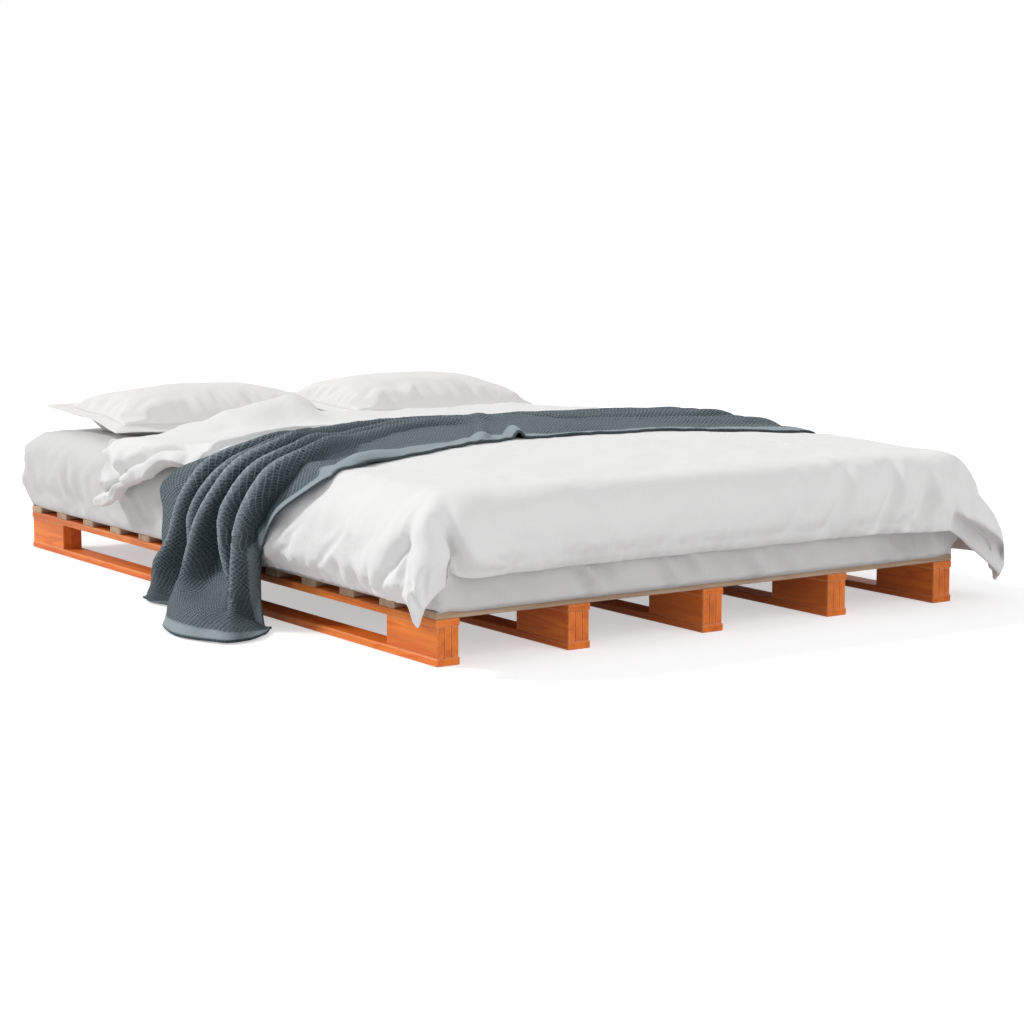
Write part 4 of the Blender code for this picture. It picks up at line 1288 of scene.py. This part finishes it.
def painted_fold_shading(out):
    """Painted fold light, 0 in the painted shade of slopes and valleys, and how far up a crest each place
    is.
    """
    reach = CREST_COLUMNS // 2
    wide = np.pad(out, ((0, 0), (reach, reach)), mode="edge")
    around = np.stack([wide[:, k:k + out.shape[1]] for k in range(CREST_COLUMNS)])
    crest = 0.5 + (out - around.mean(0)) / CREST_REACH
    folded = np.clip(around.std(0) / FOLD_SPREAD - FOLD_START, 0, 1)
    rise = np.gradient(out, axis=1) / THROW_CELL
    # Painted shade falls most on slopes that face the foot, away from the key lamp
    footward = ease((rise + 0.10) / 0.35)
    shade = (1 - ease((crest - 0.22) / 0.62)) * (EVEN_SHADE + (1 - EVEN_SHADE) * footward)
    return 1 - folded * shade, np.clip(crest, 0, 1)


def plain_border(base, u, v):
    """1 in the waffle and 0 in the plain border, and a painted shadow at the very edge, darker towards it.
    """
    on_top = ease((base[..., 2] - THROW_TOP) / 0.02) * ease(-base[..., 0] / 0.12)
    to_edge = np.minimum(np.minimum(u, u[-1, 0] - u), v * (1 - TOP_BAND_SHARE * on_top))
    inner = ease((to_edge - PLAIN_SHARE * THROW_BORDER) / ((1 - PLAIN_SHARE) * THROW_BORDER))
    return inner, RIM_SHADE + (1 - RIM_SHADE) * ease(to_edge / RIM_SHADE_WIDTH)


def make_throw(material, under):
    grid, length, width = throw_grid()
    for values in THROW_RIDGES:
        lift = crease(grid[..., 0], grid[..., 1], *values)
        grid[..., 2:] += (lift * (grid[..., 2] > THROW_TOP))[..., None]
    painted_fold_light, crest = painted_fold_shading(grid[..., 3])
    flat_u, flat_v = (np.arange(count) * THROW_CELL for count in crest.shape)
    u, v = np.meshgrid(flat_u, flat_v, indexing="ij")
    base = rest_on(grid[..., :3], under)
    normals = grid_normals(base)
    inner, rim = plain_border(base, u, v)
    ruffle = sum(uneven(u, v, form, seed) for seed, form in enumerate(RUFFLES, 31))
    base = base + normals * np.maximum(ruffle, -0.001)[..., None]
    upper = base + normals * THROW_THICKNESS
    for grid, least in zip((base, upper), THROW_LEAST):
        grid[..., 2] = np.maximum(grid[..., 2], least)
    piece = closed_sheet("knitted_throw", upper, base, flat_u, flat_v)
    # The painted shade of the folds and the painted shadow along the edge go into one attribute
    for key, values in (("crest", crest), ("painted_fold_light", painted_fold_light * rim), ("inner", inner)):
        layer = piece.data.attributes.new(key, "FLOAT", "POINT")
        layer.data.foreach_set("value", np.tile(values.ravel(), 2).astype(np.float32))
    piece.data.materials.append(material)
    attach(piece, "root")
    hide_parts("throw_blanket")


def rest_on(grid, under):
    """The grid moved out of what lies under it, where it cuts in, and kept above the floor."""
    tree = tree_of(under)
    moved = grid.copy()
    for place in np.ndindex(grid.shape[:2]):
        point = Vector(grid[place])
        near, normal = tree.find_nearest(point, THROW_SEARCH)[:2]
        if near is not None and (point - near).dot(normal) < THROW_LIFT:
            moved[place] = near + normal * THROW_LIFT
    moved[..., 2] = np.maximum(moved[..., 2], THROW_FLOOR_GAP)
    return moved


# Stage

# The strength of the sky's light, which still looks white to the camera
SKY_LEVEL = 0.50
# Lamps: heading, height above the horizon, strength and spread
KEY_LAMP = (-138, 37, 1.94, 12)
FILL_LAMP = (12, 32, 0.84, 60)
WHITE = (1.0, 1.0, 1.0, 1.0)
# The floor: its grey for light that bounces and for the camera, and a glow for the camera alone
FLOOR_BOUNCE = (0.76, 0.76, 0.765)
FLOOR_SEEN = (0.75, 0.75, 0.755)
FLOOR_GLOW = 0.490
FLOOR_HALF = 30.0


def add_camera():
    camera = bpy.data.cameras.new("view")
    camera.lens = CAMERA_LENS
    camera.sensor_width = CAMERA_SENSOR
    item = new_object("view", camera)
    item.location = CAMERA_PLACE
    item.rotation_euler = (radians(90 + CAMERA_PITCH), 0.0, radians(CAMERA_TURN))
    bpy.context.scene.camera = item


def add_sun(name, heading, height, strength, spread):
    """A soft distant lamp: heading as for a view, height above the horizon, both in degrees."""
    lamp = bpy.data.lights.new(name, "SUN")
    lamp.energy = strength
    lamp.angle = radians(spread)
    item = new_object(name, lamp)
    item.rotation_euler = (radians(90 - height), 0.0, radians(heading))


def seen_directly(tree):
    path = add_node(tree, "LightPath")
    seen = maths(tree, "MAXIMUM", path.outputs["Is Camera Ray"], path.outputs["Is Glossy Ray"])
    return maths(tree, "MAXIMUM", seen, path.outputs["Is Transmission Ray"])


def add_world():
    world = bpy.data.worlds.new("studio")
    bpy.context.scene.world = world
    world.use_nodes = True
    tree = world.node_tree
    tree.nodes.clear()
    level = maths(tree, "MULTIPLY_ADD", seen_directly(tree), 1.0 - SKY_LEVEL, SKY_LEVEL)
    light = add_node(tree, "Background", {"Color": WHITE, "Strength": level})
    add_node(tree, "OutputWorld", {0: light.outputs[0]})


def add_floor():
    form = bmesh.new()
    bmesh.ops.create_grid(form, x_segments=1, y_segments=1, size=FLOOR_HALF)
    mesh = bpy.data.meshes.new("floor")
    form.to_mesh(mesh)
    form.free()
    floor = new_object("floor", mesh)
    material = bpy.data.materials.new("floor_white")
    material.use_nodes = True
    tree = material.node_tree
    tree.nodes.clear()
    seen = seen_directly(tree)
    grey = mix(tree, seen, FLOOR_BOUNCE, FLOOR_SEEN)
    matt = add_node(tree, "BsdfDiffuse", {"Color": grey})
    strength = maths(tree, "MULTIPLY", seen, FLOOR_GLOW)
    glow = add_node(tree, "Emission", {"Color": WHITE, "Strength": strength})
    both = add_node(tree, "AddShader", {0: matt.outputs[0], 1: glow.outputs[0]})
    add_node(tree, "OutputMaterial", {0: both.outputs[0]})
    mesh.materials.append(material)


def set_light():
    bpy.context.scene.view_settings.view_transform = "Standard"
    add_world()
    add_sun("key", *KEY_LAMP)
    add_sun("fill", *FILL_LAMP)


def build():
    add_camera()
    set_light()
    add_floor()
    dress_frame()
    make_mattress(linen_material("sheet_look", *SHEET_CLOTH))
    linen = linen_material("linen_look", *DUVET_CLOTH)
    duvet, duvet_puff, at = make_duvet(linen)
    seam = (half_sizes(*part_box("pillow_left")), PILLOW_FLANGE)
    linen = linen_material("pillow_linen_look", *PILLOW_CLOTH, seam)
    left, left_puff, left_lumps = make_pillow("flanged_pillow_left", "pillow_left", 21,
                                              PILLOW_CORNER_REACH, linen)
    right, right_puff, right_lumps = make_pillow("flanged_pillow_right", "pillow_right", 41, 0.0, linen)
    puffs = (duvet_puff, left_puff, right_puff)
    run_cloth(puffs)
    crease_duvet(duvet, at)
    lump_pillow(left, left_lumps)
    lump_pillow(right, right_lumps)
    make_throw(knit_material(), duvet)
    for piece in (duvet, left, right):
        subdivide(piece, 1)


build()
